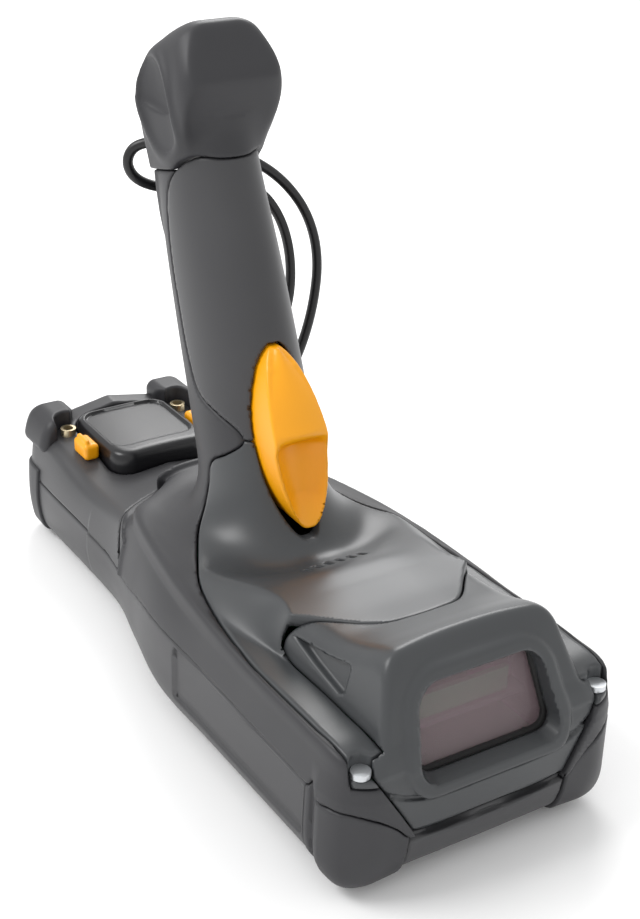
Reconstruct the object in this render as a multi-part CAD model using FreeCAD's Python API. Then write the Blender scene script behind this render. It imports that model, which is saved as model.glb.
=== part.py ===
import FreeCAD, Part
import math
import os

# Portable barcode data terminal with a pistol grip, lying on its display face.
# Millimetres.  +X runs from the tail to the scan window, +Z up along the grip, Y across.
# The origin is under the middle of the object, on the surface it lies on.

V = FreeCAD.Vector
os.makedirs("parts", exist_ok=True)

# Body envelope
nose_face_x = 112.5
tail_face_x = -113.0
nose_bumper_x = 115.5
tail_bumper_x = -115.5
head_half = 44.6
waist_inset = 11.6
tail_half = head_half - waist_inset
bumper_proud = 0.9
face_z = 3.0
wall = 2.6
nose_bow = 1.2
nose_corner_radius = 11.0
bumper_toe = 5.0
tail_corner_radius = 9.0

# Body skin heights and half-widths
flank_low_z = 10.0
head_flank_top_z = 31.5
flank_draft = 6.1
head_floor_half = head_half - flank_draft
shoulder_inset = 2.6
head_crease_half = head_half - shoulder_inset
head_crease_z = 44.2
strip_width = 14.5
ridge_half = head_crease_half - strip_width
tail_draft = 4.0
tail_floor_half = tail_half - tail_draft
tail_top_z = 43.0
tail_dip_z = 37.0
deck_hollow_z = 46.0
deck_vent_z = 51.6
deck_crest_z = 55.6
under_hood_z = 44.0

# Parting lines
tail_seam_z = 22.5
head_seam_z = 30.5
nose_seam_z = 15.3
seam_rise_start_x = -38.0
seam_rise_end_x = 12.0
seam_gap = 0.2

# Stations along the body
tail_dip_x = -66.0
waist_x = -40.0
flare_x = -14.0
shoulder_x = 12.0
deck_valley_x = 28.0
deck_vent_x = 38.0
deck_crest_x = 48.0
hood_seam_x = 60.0
hood_arc_x = 80.5
mid_hood_x = 92.0

# Scan hood
hood_strip = 13.0
hood_half = head_crease_half - hood_strip
hood_lean = 5.5
hood_top_half = hood_half - hood_lean
hood_crest_x = 96.0
hood_crest_z = 63.6
hood_brow_x = 104.2
hood_brow_z = 56.0
hood_chin_z = 26.0
hood_side_z = 53.0
hood_seam_z = 56.0
hood_arc_z = 58.6
skirt_inset = 2.0
skirt_half = hood_half - skirt_inset

# Scan window
window_frame_top = 6.9
window_frame_bottom = 8.6
window_top_half = hood_top_half - window_frame_top
window_bottom_half = hood_half - window_frame_bottom
window_top_z = 54.4
window_bottom_z = 33.4
window_corner_radius = 3.5
window_glass = 1.5
gasket_thickness = 1.0
gasket_lip = 1.6
fit_gap = 0.1

# Pistol grip: its centre line leans back from the deck to the butt
grip_lean = 0.374
grip_middle_x = -27.0
grip_middle_z = 123.6
grip_depth_low = 22.0
grip_depth_mid = 22.5
grip_depth_top = 19.8
grip_width_low = 17.5
grip_width_mid = 15.8
grip_width_top = 13.3
grip_flare_depth = 25.0
grip_flare_width = 21.0
grip_foot_z = 42.0
grip_seam_back = 6.0
panel_foot_z = 80.5

# Butt cap
butt_half = 14.6
butt_top_z = 189.0
butt_toe_x = -18.0
butt_toe_z = 176.0
butt_heel_x = -52.0
butt_front_z = 156.0
butt_rear_z = 145.0
butt_bevel = 4.0
butt_wall_share = 0.8

# Trigger
trigger_pivot_x = -3.0
trigger_pivot_z = 97.5
trigger_tip_z = 56.4
trigger_tip_x = 24.4
trigger_ridge_x = 17.6
trigger_ridge_z = 82.0
trigger_top_x = 3.4
trigger_top_z = 104.2
trigger_half = 8.8
trigger_depth = 9.0
trigger_clearance = 0.5
trigger_drop = 3.2
trigger_hub_radius = 3.4
trigger_hub_half = 5.5
trigger_web_half = 4.4
trigger_web_rise = 2.4
pin_radius = 1.5
pin_half = 9.0
running_clearance = 0.05
boss_inner_half = 7.6

# Battery and its well
battery_front_x = -66.0
battery_rear_x = -105.0
battery_inset = 15.4
battery_half = tail_half - battery_inset
battery_top_z = 44.0
battery_bottom_z = 24.0
battery_corner_radius = 8.0
battery_gap = 0.35
well_wall = 1.6
latch_rear_x = -89.0
latch_front_x = -79.0
latch_reach = 5.6
latch_foot_z = 37.0
latch_top_z = 43.2
latch_travel = 2.0

# Tail ears, bumpers, inserts
ear_front_x = -97.0
ear_width = 17.5
ear_inner_half = tail_half - ear_width
ear_foot_z = 33.0
ear_top_z = 45.5
tail_bumper_front_x = -100.0
tail_bumper_width = 17.0
tail_bumper_inner_half = tail_half - tail_bumper_width
tail_bumper_top_z = 27.0
nose_bumper_rear_x = 93.0
nose_bumper_width = 17.0
nose_bumper_inner_half = head_half - nose_bumper_width
nose_bumper_top_z = 27.0
bumper_recess = 1.2
insert_x = -98.5
insert_inset = 12.2
insert_y = tail_half - insert_inset
insert_radius = 2.6
insert_bore = 1.7
insert_length = 7.0
insert_top_z = 41.0

# Display side
display_rear_x = 26.0
display_front_x = 100.0
display_inset = 8.5
display_half = head_floor_half - display_inset
touch_recess = 0.7
display_thickness = 4.0
display_overlap = 1.8
keypad_rear_x = -94.0
keypad_front_x = 16.0
keypad_inset = 4.5
keypad_half = tail_floor_half - keypad_inset
bezel_thickness = 1.6
bezel_flange = 2.0
key_protrusion = 1.8
key_travel = 1.0
key_flange = 0.9
key_flange_thickness = 1.0
key_hole_gap = 0.35
key_pitch_x = 15.4
key_spacing = 2.6
keypad_margin = 3.3
key_length = 10.6
key_width = (keypad_half - keypad_margin - key_spacing) / 1.5
key_pitch_y = key_width + key_spacing
key_corner_radius = 2.6
first_key_x = 7.0
mat_thickness = 1.0
board_thickness = 1.6
scan_key_radius = 6.2
led_x = -23.8
led_radius = 2.2

# Boards, fasteners and small internals
main_board_rear_x = -24.0
main_board_front_x = 100.5
main_board_inset = 8.1
main_board_half = head_half - main_board_inset
post_radius = 1.9
post_rear_x = 21.8
post_front_x = 97.0
post_inset = 2.5
post_y = main_board_half - post_inset
board_screw_radius = 0.9
board_screw_head = 1.8
nose_screw_x = 107.8
nose_screw_inset = 5.0
nose_screw_y = head_crease_half - nose_screw_inset
nose_screw_head = 2.6
nose_screw_shank = 1.2
nose_screw_length = 7.2
speaker_half = 9.0
speaker_length = 5.0
speaker_thickness = 3.5

# Scan engine
chassis_rear_x = 72.0
chassis_front_x = 97.0
chassis_inset = 7.0
chassis_half = hood_half - chassis_inset
chassis_floor_z = 36.0
chassis_floor = 1.8
chassis_wall_top_z = 48.5
mirror_x = 87.0
mirror_half = 8.0
mirror_low_z = 41.0
mirror_high_z = 51.0
mirror_thickness = 1.2
mirror_shaft_radius = 1.0
laser_radius = 3.4
laser_x = 79.0
engine_board_x = 94.0
engine_board_inset = 5.0
engine_board_half = chassis_half - engine_board_inset
engine_board_top_z = 45.0

# Tether cord: the route's points, chosen by hand, from the left ferrule round to the right one
cord_diameter = 3.2
cord_route = [
    V(-56.6, -6.5, 149.0),
    V(-60.2, -10.6, 148.4),
    V(-62.0, -13.6, 143.2),
    V(-61.4, -11.6, 137.4),
    V(-60.4, -4.6, 133.8),
    V(-59.6, 6.0, 132.2),
    V(-58.8, 18.0, 132.4),
    V(-57.0, 29.6, 129.4),
    V(-54.2, 36.0, 119.6),
    V(-51.0, 37.8, 107.4),
    V(-48.0, 35.8, 94.6),
    V(-45.0, 29.0, 83.0),
    V(-42.4, 18.2, 76.0),
    V(-41.0, 6.6, 72.4),
    V(-40.6, 0.4, 65.6),
    V(-41.2, 4.8, 57.6),
    V(-42.2, 15.0, 56.2),
    V(-43.4, 27.6, 63.0),
    V(-45.0, 37.4, 75.4),
    V(-48.0, 44.6, 89.8),
    V(-51.6, 48.6, 105.4),
    V(-54.8, 46.2, 119.6),
    V(-57.6, 37.8, 131.6),
    V(-59.6, 25.4, 140.0),
    V(-59.6, 13.4, 146.0),
    V(-56.6, 6.5, 149.0),
]
ferrule_radius = 2.6
ferrule_length = 4.0


def polygon(points):
    return Part.Face(Part.makePolygon(points + points[:1]))


def side_prism(outline, half):
    """Outline in the XZ plane, extruded across the body."""
    return polygon([V(x, -half, z) for x, z in outline]).extrude(V(0, 2 * half, 0))


def plan_prism(outline, low_z, high_z):
    return polygon([V(x, y, low_z) for x, y in outline]).extrude(V(0, 0, high_z - low_z))


def front_prism(outline, rear_x, front_x):
    return polygon([V(rear_x, y, z) for y, z in outline]).extrude(V(front_x - rear_x, 0, 0))


def both_sides(half_outline):
    """Close a half outline of (along, y) points by mirroring it about Y = 0."""
    return half_outline + [(a, -y) for a, y in reversed(half_outline)]


def box(x0, x1, y0, y1, z0, z1):
    return Part.makeBox(x1 - x0, y1 - y0, z1 - z0, V(x0, y0, z0))


def round_upright(shape, radius):
    """Round the edges that run along Z."""
    edges = []
    for edge in shape.Edges:
        start, end = edge.Vertexes[0].Point, edge.Vertexes[-1].Point
        if abs(start.z - end.z) > 1e-6 and abs(start.x - end.x) + abs(start.y - end.y) < 1e-6:
            edges.append(edge)
    return shape.makeFillet(radius, edges)


def round_all(shape, radius):
    return shape.makeFillet(radius, shape.Edges)


def rounded_box(x0, x1, y0, y1, z0, z1, radius):
    return round_upright(box(x0, x1, y0, y1, z0, z1), radius)


def mirror(shape):
    return shape.mirror(V(0, 0, 0), V(0, 1, 0))


def fused(shapes):
    return shapes[0].fuse(shapes[1:]).removeSplitter()


def export(name, shape):
    solids = shape.Solids
    if not solids:
        raise ValueError(name + " holds no solid")
    result = solids[0] if len(solids) == 1 else Part.makeCompound(solids)
    result.exportStep("parts/" + name + ".step")
    print(name, len(solids), "solids, volume", round(sum(s.Volume for s in solids)), result.isValid())


# Body skin: straight-sided sections joined from tail to nose
def body_stations():
    """Station x, floor half, flank half and top z, crease, strip's inner edge, ridge (half, z), middle z."""
    flare_half = 0.45 * tail_half + 0.55 * head_half
    ear_seat_half = tail_half - 1.0
    hood_strip_half = ridge_half + 1.9

    def tail_row(x, floor_half, flank_half, flank_z, crease_half, crease_z, rim_half, rim_z, middle_z):
        strip = ((crease_half + rim_half) / 2, (crease_z + rim_z) / 2)
        return (x, floor_half, flank_half, flank_z, crease_half, crease_z) + strip + (rim_half, rim_z, middle_z)

    def head_row(x, crease_inset, strip_half, strip_z, rim_half, rim_z, middle_z):
        return (x, head_floor_half, head_half, head_flank_top_z, head_crease_half - crease_inset, head_crease_z,
                strip_half, strip_z, rim_half, rim_z, middle_z)

    return [
        tail_row(tail_face_x, tail_floor_half, ear_seat_half, 28.0, 28.5, 37.5, 20.0, tail_top_z - 0.8, tail_top_z),
        tail_row(latch_rear_x, tail_floor_half, tail_half, 27.0, 28.5, 36.0, 20.5, tail_top_z - 3.0,
                 tail_top_z - 2.0),
        tail_row(tail_dip_x, tail_floor_half, tail_half, 26.5, 28.5, 33.5, 21.0, tail_dip_z - 1.0, tail_dip_z),
        tail_row(waist_x, tail_floor_half + 1.0, tail_half + 0.8, 28.0, 30.0, 36.5, 22.0, 39.5, 41.0),
        tail_row(flare_x, tail_floor_half + 5.5, flare_half, 30.0, 33.5, 43.0, 25.0, 46.4, deck_hollow_z),
        head_row(shoulder_x, 8.0, ridge_half + 5.4, 45.6, ridge_half + 2.6, 48.0, deck_hollow_z),
        head_row(deck_valley_x, 4.0, ridge_half + 8.0, 45.8, ridge_half + 2.0, 50.2, deck_hollow_z + 0.4),
        head_row(deck_vent_x, 2.6, ridge_half + 8.2, 45.6, ridge_half, deck_vent_z + 1.0, deck_vent_z),
        head_row(deck_crest_x, 2.0, ridge_half + 7.0, 45.6, ridge_half - 1.3, deck_crest_z - 1.0, deck_crest_z),
        head_row(hood_seam_x, 1.4, ridge_half + 3.0, 45.4, ridge_half + 0.4, hood_seam_z - 1.0, hood_seam_z),
        head_row(hood_arc_x + 1.5, 0.4, hood_strip_half, 44.8, ridge_half - 0.9, hood_arc_z - 1.0,
                 hood_arc_z + 0.1),
        head_row(hood_arc_x + 3.0, 0.3, hood_strip_half, 44.6, ridge_half, under_hood_z, under_hood_z),
        head_row(mid_hood_x, 0.0, hood_strip_half, 44.4, ridge_half + 1.0, under_hood_z - 0.4, under_hood_z),
        head_row(nose_face_x - 8.0, 0.0, hood_strip_half, 44.0, ridge_half + 1.0, under_hood_z - 1.0, under_hood_z),
        (nose_face_x, head_floor_half - 1.5, head_half, head_flank_top_z - 2.0, head_crease_half - 2.0, 35.0,
         hood_strip_half, 36.6, ridge_half + 1.0, 37.0, 38.0),
    ]


def body(side, top, floor, nose, tail):
    """Body form grown by these amounts, or shrunk where they are negative."""
    rows = body_stations()
    wires = []
    for index, row in enumerate(rows):
        x, floor_half, flank_half, flank_z, crease_half, crease_z, strip_half, strip_z, rim_half, rim_z, middle_z = row
        if index == 0:
            x = x - tail
        if index == len(rows) - 1:
            x = x + nose
        right = [
            (floor_half + 0.6 * side, face_z - floor),
            (flank_half + side, flank_low_z - 0.3 * floor),
            (flank_half + side, flank_z + 0.3 * top),
            (crease_half + 0.5 * side, crease_z + top),
            (strip_half + 0.6 * side, strip_z + top),
            (rim_half + 0.5 * side, rim_z + top),
            (0.0, middle_z + top),
        ]
        left = [(-y, z) for y, z in reversed(right[:-1])]
        points = [V(x, y, z) for y, z in right + left]
        wires.append(Part.makePolygon(points + points[:1]))
    skin = Part.makeLoft(wires, True, True)
    return skin.common(body_plan(side, nose, tail))


def body_plan(side, nose, tail):
    """Prism that rounds the body's corners as seen from above."""
    half = head_half + side
    radius = nose_corner_radius + side
    front = nose_face_x + nose
    shelf = front - nose_bow
    turn = radius * math.cos(math.pi / 4)
    corner_x, corner_y = shelf - radius, half - radius
    rear = waist_x - 20.0
    edges = [
        Part.LineSegment(V(rear, -half, 0), V(corner_x, -half, 0)).toShape(),
        Part.Arc(V(corner_x, -half, 0), V(corner_x + turn, -corner_y - turn, 0), V(shelf, -corner_y, 0)).toShape(),
        Part.Arc(V(shelf, -corner_y, 0), V(front, 0, 0), V(shelf, corner_y, 0)).toShape(),
        Part.Arc(V(shelf, corner_y, 0), V(corner_x + turn, corner_y + turn, 0), V(corner_x, half, 0)).toShape(),
        Part.LineSegment(V(corner_x, half, 0), V(rear, half, 0)).toShape(),
        Part.LineSegment(V(rear, half, 0), V(rear, -half, 0)).toShape(),
    ]
    head = Part.Face(Part.Wire(edges)).extrude(V(0, 0, butt_top_z))
    tail_plan_half = tail_half + side
    tail_plan = rounded_box(tail_face_x - tail, waist_x, -tail_plan_half, tail_plan_half, 0, butt_top_z,
                            tail_corner_radius + side)
    plan = fused([head, tail_plan])
    plan.translate(V(0, 0, -wall * 2))
    return plan


# Grip skin: level ellipses stacked along the leaning centre line
def grip_axis_x(z):
    return grip_middle_x - grip_lean * (z - grip_middle_z)


def grip_levels():
    """Height, half-depth along X and half-width along Y."""
    return [
        (grip_foot_z - 6.0, grip_flare_depth + 3.0, grip_flare_width + 3.5),
        (grip_foot_z + 6.0, grip_flare_depth - 2.0, grip_flare_width - 1.5),
        (grip_foot_z + 18.0, grip_depth_low, grip_width_low),
        (trigger_pivot_z, grip_depth_mid, grip_width_mid),
        (grip_middle_z, grip_depth_mid - 0.7, grip_width_mid - 1.0),
        (butt_rear_z + 3.0, grip_depth_top + 0.3, grip_width_top + 0.3),
        (butt_front_z + 4.0, grip_depth_top, grip_width_top),
    ]


def grip(grow):
    wires = []
    for z, depth, width in grip_levels():
        centre = V(grip_axis_x(z), 0, z)
        rear, side = centre - V(depth + grow, 0, 0), centre - V(0, width + grow, 0)
        ellipse = Part.Ellipse(rear, side, centre)
        wires.append(Part.Wire([ellipse.toShape()]))
    return Part.makeLoft(wires, True, True)


body_outer = body(0, 0, 0, 0, 0)
body_inner = body(-wall, -wall, -wall, -wall, -wall)
body_recessed = body(-bumper_recess, -bumper_recess, -bumper_recess * 0.5, -bumper_recess, -bumper_recess)
bow_at_bumper = nose_bow * (nose_bumper_inner_half / (head_half - nose_corner_radius)) ** 2
body_bumper = body(bumper_proud, bumper_proud, face_z, nose_bumper_x - nose_face_x + bow_at_bumper,
                   tail_face_x - tail_bumper_x)
shell = body_outer.cut(body_inner)
grip_outer = grip(0)
grip_inner = grip(-wall)
grip_shell = grip_outer.cut(grip_inner)

reach = 300.0
side_reach = 60.0


# Regions that divide the skin into its mouldings
def seam_outline(raise_by):
    """Side view of the space below the parting line."""
    return [
        (-reach, -reach), (-reach, tail_seam_z + raise_by), (seam_rise_start_x, tail_seam_z + raise_by),
        (seam_rise_end_x, head_seam_z + raise_by), (reach, head_seam_z + raise_by), (reach, -reach),
    ]


def mid_edge_outline(shift):
    """Plan of the tail moulding, behind the arched edge of the middle body."""
    return both_sides([
        (tail_dip_x + 7.0 + shift, 0.0), (tail_dip_x + 8.5 + shift, 8.0), (tail_dip_x + 17.0 + shift, 25.5),
        (waist_x + 1.0 + shift, 32.0), (waist_x + 2.0 + shift, side_reach), (-reach, side_reach),
    ])[1:]


def deck_outline(shrink):
    """Plan of the deck cover: from the grip's foot along the shoulder creases to the nose."""
    return both_sides([
        (-7.0 + shrink, 17.5 - shrink), (shoulder_x - 7.0 + shrink, ridge_half + 2.0 - shrink),
        (shoulder_x + 2.0, ridge_half + 5.0 - shrink), (deck_vent_x, head_crease_half - 5.0 - shrink),
        (hood_seam_x, head_crease_half - 3.0 - shrink), (mid_hood_x, head_crease_half - 1.3 - shrink),
        (reach, head_crease_half - 1.3 - shrink),
    ])


def grip_rear_outline(shift):
    """Side view of the rubbery spine and its wedge, behind the grip's side seam."""
    seam = []
    for z in (butt_front_z + 30.0, grip_middle_z, trigger_pivot_z):
        seam.append((grip_axis_x(z) - grip_seam_back + shift, z))
    return seam + [
        (-13.5 + shift, 86.3), (2.8 + shift, 81.4), (5.3 + shift, 77.2), (1.3 + shift, 73.1 - shift),
        (-4.4 + shift, 69.5 - shift), (-5.0 + shift, 56.0), (-4.0 + shift, grip_foot_z - 20.0),
        (-reach, grip_foot_z - 20.0), (-reach, butt_front_z + 30.0),
    ]


def butt_plane_outline(lift):
    """Side view of everything above the butt cap's lower edge."""
    slope = (butt_front_z - butt_rear_z) / 37.0
    front_z = butt_front_z + lift + slope * (reach - 20.0)
    rear_z = butt_rear_z + lift - slope * (reach - 57.0)
    return [(reach, front_z + slope * 40.0), (-reach, rear_z), (-reach, reach), (reach, reach * 2)]


below_seam = side_prism(seam_outline(0), side_reach)
above_seam = side_prism([(x, z if z > -reach else reach) for x, z in seam_outline(seam_gap)], side_reach)
tail_region = plan_prism(mid_edge_outline(0), 0, reach)
tail_region_wide = plan_prism(mid_edge_outline(seam_gap), 0, reach)
deck_region = plan_prism(deck_outline(seam_gap / 2), 0, reach)
deck_region_wide = plan_prism(deck_outline(-seam_gap / 2), 0, reach)
grip_rear_region = side_prism(grip_rear_outline(-seam_gap / 2), side_reach)
grip_rear_wide = side_prism(grip_rear_outline(seam_gap / 2), side_reach)
above_panel_foot = box(-reach, reach, -side_reach, side_reach, panel_foot_z + seam_gap, reach)
below_panel_foot = box(-reach, reach, -side_reach, side_reach, 0, panel_foot_z)
butt_region = side_prism(butt_plane_outline(seam_gap), side_reach)
butt_region_wide = side_prism(butt_plane_outline(0), side_reach)


# Corner pieces of soft rubber that wrap the ends of the body
def corner_wrap(region, envelope, core):
    return region.common(envelope).cut(core)


nose_bumper_region = box(nose_bumper_rear_x, reach, nose_bumper_inner_half, side_reach, -1, nose_bumper_top_z)
tail_bumper_region = box(-reach, tail_bumper_front_x, tail_bumper_inner_half, side_reach, -1, tail_bumper_top_z)
toe_wedge = side_prism([(nose_bumper_x - bumper_toe, -1.0), (nose_bumper_x + 1.0, bumper_toe + 2.0),
                        (nose_bumper_x + 1.0, -1.0)], side_reach)
nose_bumper = corner_wrap(nose_bumper_region, body_bumper, body_recessed).cut(toe_wedge)
tail_bumper = corner_wrap(tail_bumper_region, body_bumper, body_recessed)


def seat_for(region):
    """What a corner piece needs cut out of the housing, with its seating gap."""
    grown = region.BoundBox
    grown_box = box(grown.XMin - seam_gap, grown.XMax, grown.YMin - seam_gap, grown.YMax, grown.ZMin,
                    grown.ZMax + seam_gap)
    return grown_box.cut(body(-bumper_recess - 0.05, -bumper_recess - 0.05, -bumper_recess * 0.5 - 0.05,
                              -bumper_recess - 0.05, -bumper_recess - 0.05))


nose_bumper_seat = seat_for(nose_bumper_region)
tail_seat_region = box(-reach, tail_bumper_front_x + seam_gap, tail_bumper_inner_half, side_reach, -1,
                       tail_bumper_top_z)
tail_bumper_seat = seat_for(tail_seat_region)


def cut_both(shape, tool):
    return shape.cut(tool).cut(mirror(tool))


# Display side: touch panel, display, keypad
floor_top_z = face_z + wall
keypad_opening = rounded_box(keypad_rear_x, keypad_front_x, -keypad_half, keypad_half, 0, floor_top_z + 1, 5.0)
display_opening = rounded_box(display_rear_x, display_front_x, -display_half, display_half, 0,
                              floor_top_z + 1, 4.0)
touch_panel = rounded_box(display_rear_x + fit_gap, display_front_x - fit_gap, -display_half + fit_gap,
                          display_half - fit_gap, face_z + touch_recess, floor_top_z, 4.0 - fit_gap)
display_low_z = floor_top_z + 0.05
display_top_z = display_low_z + display_thickness
display_module = box(display_rear_x - display_overlap, display_front_x + display_overlap,
                     -display_half - display_overlap, display_half + display_overlap,
                     display_low_z, display_top_z)
keypad_cavity_z = face_z + bezel_thickness
bezel_rim_top_z = keypad_cavity_z + 0.3 + key_flange_thickness + key_travel + 0.25
bezel = rounded_box(keypad_rear_x + fit_gap, keypad_front_x - fit_gap, -keypad_half + fit_gap,
                    keypad_half - fit_gap, face_z, bezel_rim_top_z, 5.0 - fit_gap)
bezel_flange_plate = rounded_box(keypad_rear_x - bezel_flange, keypad_front_x + bezel_flange,
                                 -keypad_half - bezel_flange, keypad_half + bezel_flange,
                                 floor_top_z + 0.05, bezel_rim_top_z, 5.0)
key_chamber = rounded_box(keypad_rear_x + bezel_flange, keypad_front_x - bezel_flange,
                          -keypad_half + bezel_flange, keypad_half - bezel_flange,
                          keypad_cavity_z, bezel_rim_top_z + 1, 3.0)
bezel = fused([bezel, bezel_flange_plate]).cut(key_chamber)

key_names = [
    ["function", "up", "backspace"],
    ["left", "scan", "right"],
    ["power", "down", ""],
    ["1", "2", "3"],
    ["4", "5", "6"],
    ["7", "8", "9"],
    ["star", "0", "hash"],
]


def key_block(x, y, grow, low_z, high_z, is_round):
    if is_round:
        return Part.makeCylinder(scan_key_radius + grow, high_z - low_z, V(x, y, low_z))
    return rounded_box(x - key_length / 2 - grow, x + key_length / 2 + grow, y - key_width / 2 - grow,
                       y + key_width / 2 + grow, low_z, high_z, key_corner_radius)


keys = {}
flange_low_z = keypad_cavity_z + 0.3
flange_top_z = flange_low_z + key_flange_thickness
for row, names in enumerate(key_names):
    for column, label in enumerate(names):
        key_x = first_key_x - row * key_pitch_x
        key_y = (column - 1) * key_pitch_y
        if not label:
            continue
        is_round = label == "scan"
        cap = key_block(key_x, key_y, 0, face_z - key_protrusion, flange_top_z, is_round)
        flange = key_block(key_x, key_y, key_flange, flange_low_z, flange_top_z, is_round)
        hole = key_block(key_x, key_y, key_hole_gap, 0, keypad_cavity_z + 1, is_round)
        keys["key_" + label] = fused([cap, flange])
        bezel = bezel.cut(hole)

led_y = key_pitch_y
led_lens = Part.makeCylinder(led_radius, bezel_thickness + 0.2, V(led_x, led_y, face_z - 0.2))
led_lens = fused([led_lens, Part.makeCylinder(led_radius + 0.8, 0.8, V(led_x, led_y, keypad_cavity_z))])
bezel = bezel.cut(Part.makeCylinder(led_radius + fit_gap, bezel_thickness * 2, V(led_x, led_y, face_z - 1)))

mat_low_z = bezel_rim_top_z + 0.05
mat_top_z = mat_low_z + mat_thickness
keypad_mat = box(keypad_rear_x, keypad_front_x, -keypad_half, keypad_half, mat_low_z, mat_top_z)
keypad_board_low_z = mat_top_z + 0.05
keypad_board_top_z = keypad_board_low_z + board_thickness
keypad_board = box(keypad_rear_x - 1.0, keypad_front_x + 1.0, -keypad_half - 1.0, keypad_half + 1.0,
                   keypad_board_low_z, keypad_board_top_z)

# Main board on four posts, with its screws
board_low_z = max(display_top_z, keypad_board_top_z) + 0.35
board_top_z = board_low_z + board_thickness
post_spots = [(x, y) for x in (post_rear_x, post_front_x) for y in (-post_y, post_y)]
main_board = box(main_board_rear_x, main_board_front_x, -main_board_half, main_board_half, board_low_z,
                 board_top_z)
main_board = main_board.cut(fused([
    box(main_board_rear_x - 1, shoulder_x, side, side + 20.0, 0, board_top_z + 1)
    for side in (-keypad_half - 24.0, keypad_half + 4.0)]))
posts = []
board_screws = []
for x, y in post_spots:
    post = Part.makeCylinder(post_radius, board_low_z - floor_top_z + 0.5, V(x, y, floor_top_z - 0.5))
    bore = Part.makeCylinder(board_screw_radius + 0.02, 4.2, V(x, y, board_low_z - 4.2))
    posts.append(post.cut(bore))
    main_board = main_board.cut(Part.makeCylinder(board_screw_radius + 0.1, 5.0, V(x, y, board_low_z - 1)))
    shank = Part.makeCylinder(board_screw_radius, 4.0 + board_thickness, V(x, y, board_low_z - 4.0))
    head = Part.makeCylinder(board_screw_head, 1.2, V(x, y, board_top_z))
    board_screws.append(fused([shank, head]))

# Speaker behind its slots
speaker_front_x = nose_face_x - wall - nose_bow
speaker = rounded_box(speaker_front_x - speaker_length, speaker_front_x, -speaker_half, speaker_half,
                      floor_top_z + 0.05, floor_top_z + speaker_thickness, 1.5)
speaker_slots = fused([
    rounded_box(speaker_front_x - speaker_length + 1.0, speaker_front_x - 1.0, y - 0.7, y + 0.7, 0,
                floor_top_z + 1, 0.6)
    for y in (-6.0, -3.0, 0.0, 3.0, 6.0)])

# Display housing: the lower tray, from tail to nose
skirt_cut = box(nose_face_x - nose_corner_radius, reach, -skirt_half - seam_gap, skirt_half + seam_gap,
                nose_seam_z, reach)
display_housing = shell.common(below_seam).cut(skirt_cut)
display_housing = display_housing.cut(keypad_opening).cut(display_opening).cut(speaker_slots)
display_housing = cut_both(display_housing, nose_bumper_seat)
display_housing = cut_both(display_housing, tail_bumper_seat)
post_stack = fused(posts).common(body_outer)
display_housing = display_housing.fuse(post_stack)
for x, y in post_spots:
    bore = Part.makeCylinder(board_screw_radius + 0.02, 4.2, V(x, y, board_low_z - 4.2))
    display_housing = display_housing.cut(bore)

# Scan hood: a hollow brow over the scan engine, with a skirt down the nose face
def hood_section(x, half, low_z, side_z, top_half, top_z, middle_z, shrink):
    right = [
        (half - shrink, low_z), (half - shrink, side_z - shrink * 0.6), (top_half - shrink * 0.6, top_z - shrink),
        (0.0, middle_z - shrink),
    ]
    left = [(-y, z) for y, z in reversed(right[:-1])]
    points = [V(x, y, z) for y, z in right + left]
    return Part.makePolygon(points + points[:1])


def hood(shrink):
    foot = under_hood_z + 0.1 - shrink
    rear = hood_seam_x - 0.5 + shrink
    return Part.makeLoft([
        hood_section(rear, hood_half - 0.2, foot, hood_side_z, hood_half - 1.3, hood_seam_z - 1.1,
                     hood_seam_z, shrink),
        hood_section(hood_arc_x, hood_half, foot, hood_side_z + 1.5, hood_half - 2.8, hood_arc_z - 0.6,
                     hood_arc_z, shrink),
        hood_section(hood_crest_x, hood_half - 0.5, foot, hood_crest_z - 5.0, hood_top_half, hood_crest_z,
                     hood_crest_z + 0.2, shrink),
        hood_section(hood_brow_x - shrink, hood_half - 1.9, foot, hood_brow_z - 5.0, hood_top_half + 1.0,
                     hood_brow_z, hood_brow_z, shrink),
        hood_section(nose_face_x - shrink, hood_half - 2.3, hood_chin_z - 1.5, hood_chin_z, skirt_half - 2.0,
                     hood_chin_z + 0.8 + shrink, hood_chin_z + 0.8 + shrink, shrink),
    ], True, True)


def hood_arc(grow):
    """Half plan of the hood's rear edge, an arc that opens towards the shoulders."""
    arc = []
    for back, out in ((0.0, 0.14), (0.01, 0.28), (0.06, 0.42), (0.26, 0.55), (0.49, 0.69), (0.72, 0.83), (1.0, 1.0)):
        arc.append((hood_arc_x - grow - back * (hood_arc_x - hood_seam_x), (hood_half + grow) * out))
    return arc


hood_region = plan_prism(both_sides(hood_arc(0) + [(hood_seam_x - 0.8, side_reach), (reach, side_reach)]), 0, reach)
hood_outer = hood(0)
hood_cavity = hood(wall)
under_hood_space = box(hood_seam_x + 1.5 + wall, nose_face_x - wall - 1.0, -hood_half + wall, hood_half - wall,
                       0, under_hood_z + wall)
front_slope = (nose_face_x - hood_brow_x) / (hood_brow_z - hood_chin_z)


def window_outline(grow):
    return both_sides_front([
        (window_bottom_half + grow, window_bottom_z - grow), (window_top_half + grow, window_top_z + grow)])


def both_sides_front(half_outline):
    return half_outline + [(-y, z) for y, z in reversed(half_outline)]


def round_along_x(shape, radius):
    edges = [e for e in shape.Edges if abs(e.Vertexes[0].Point.x - e.Vertexes[-1].Point.x) > 1e-6]
    return shape.makeFillet(radius, edges)


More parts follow.
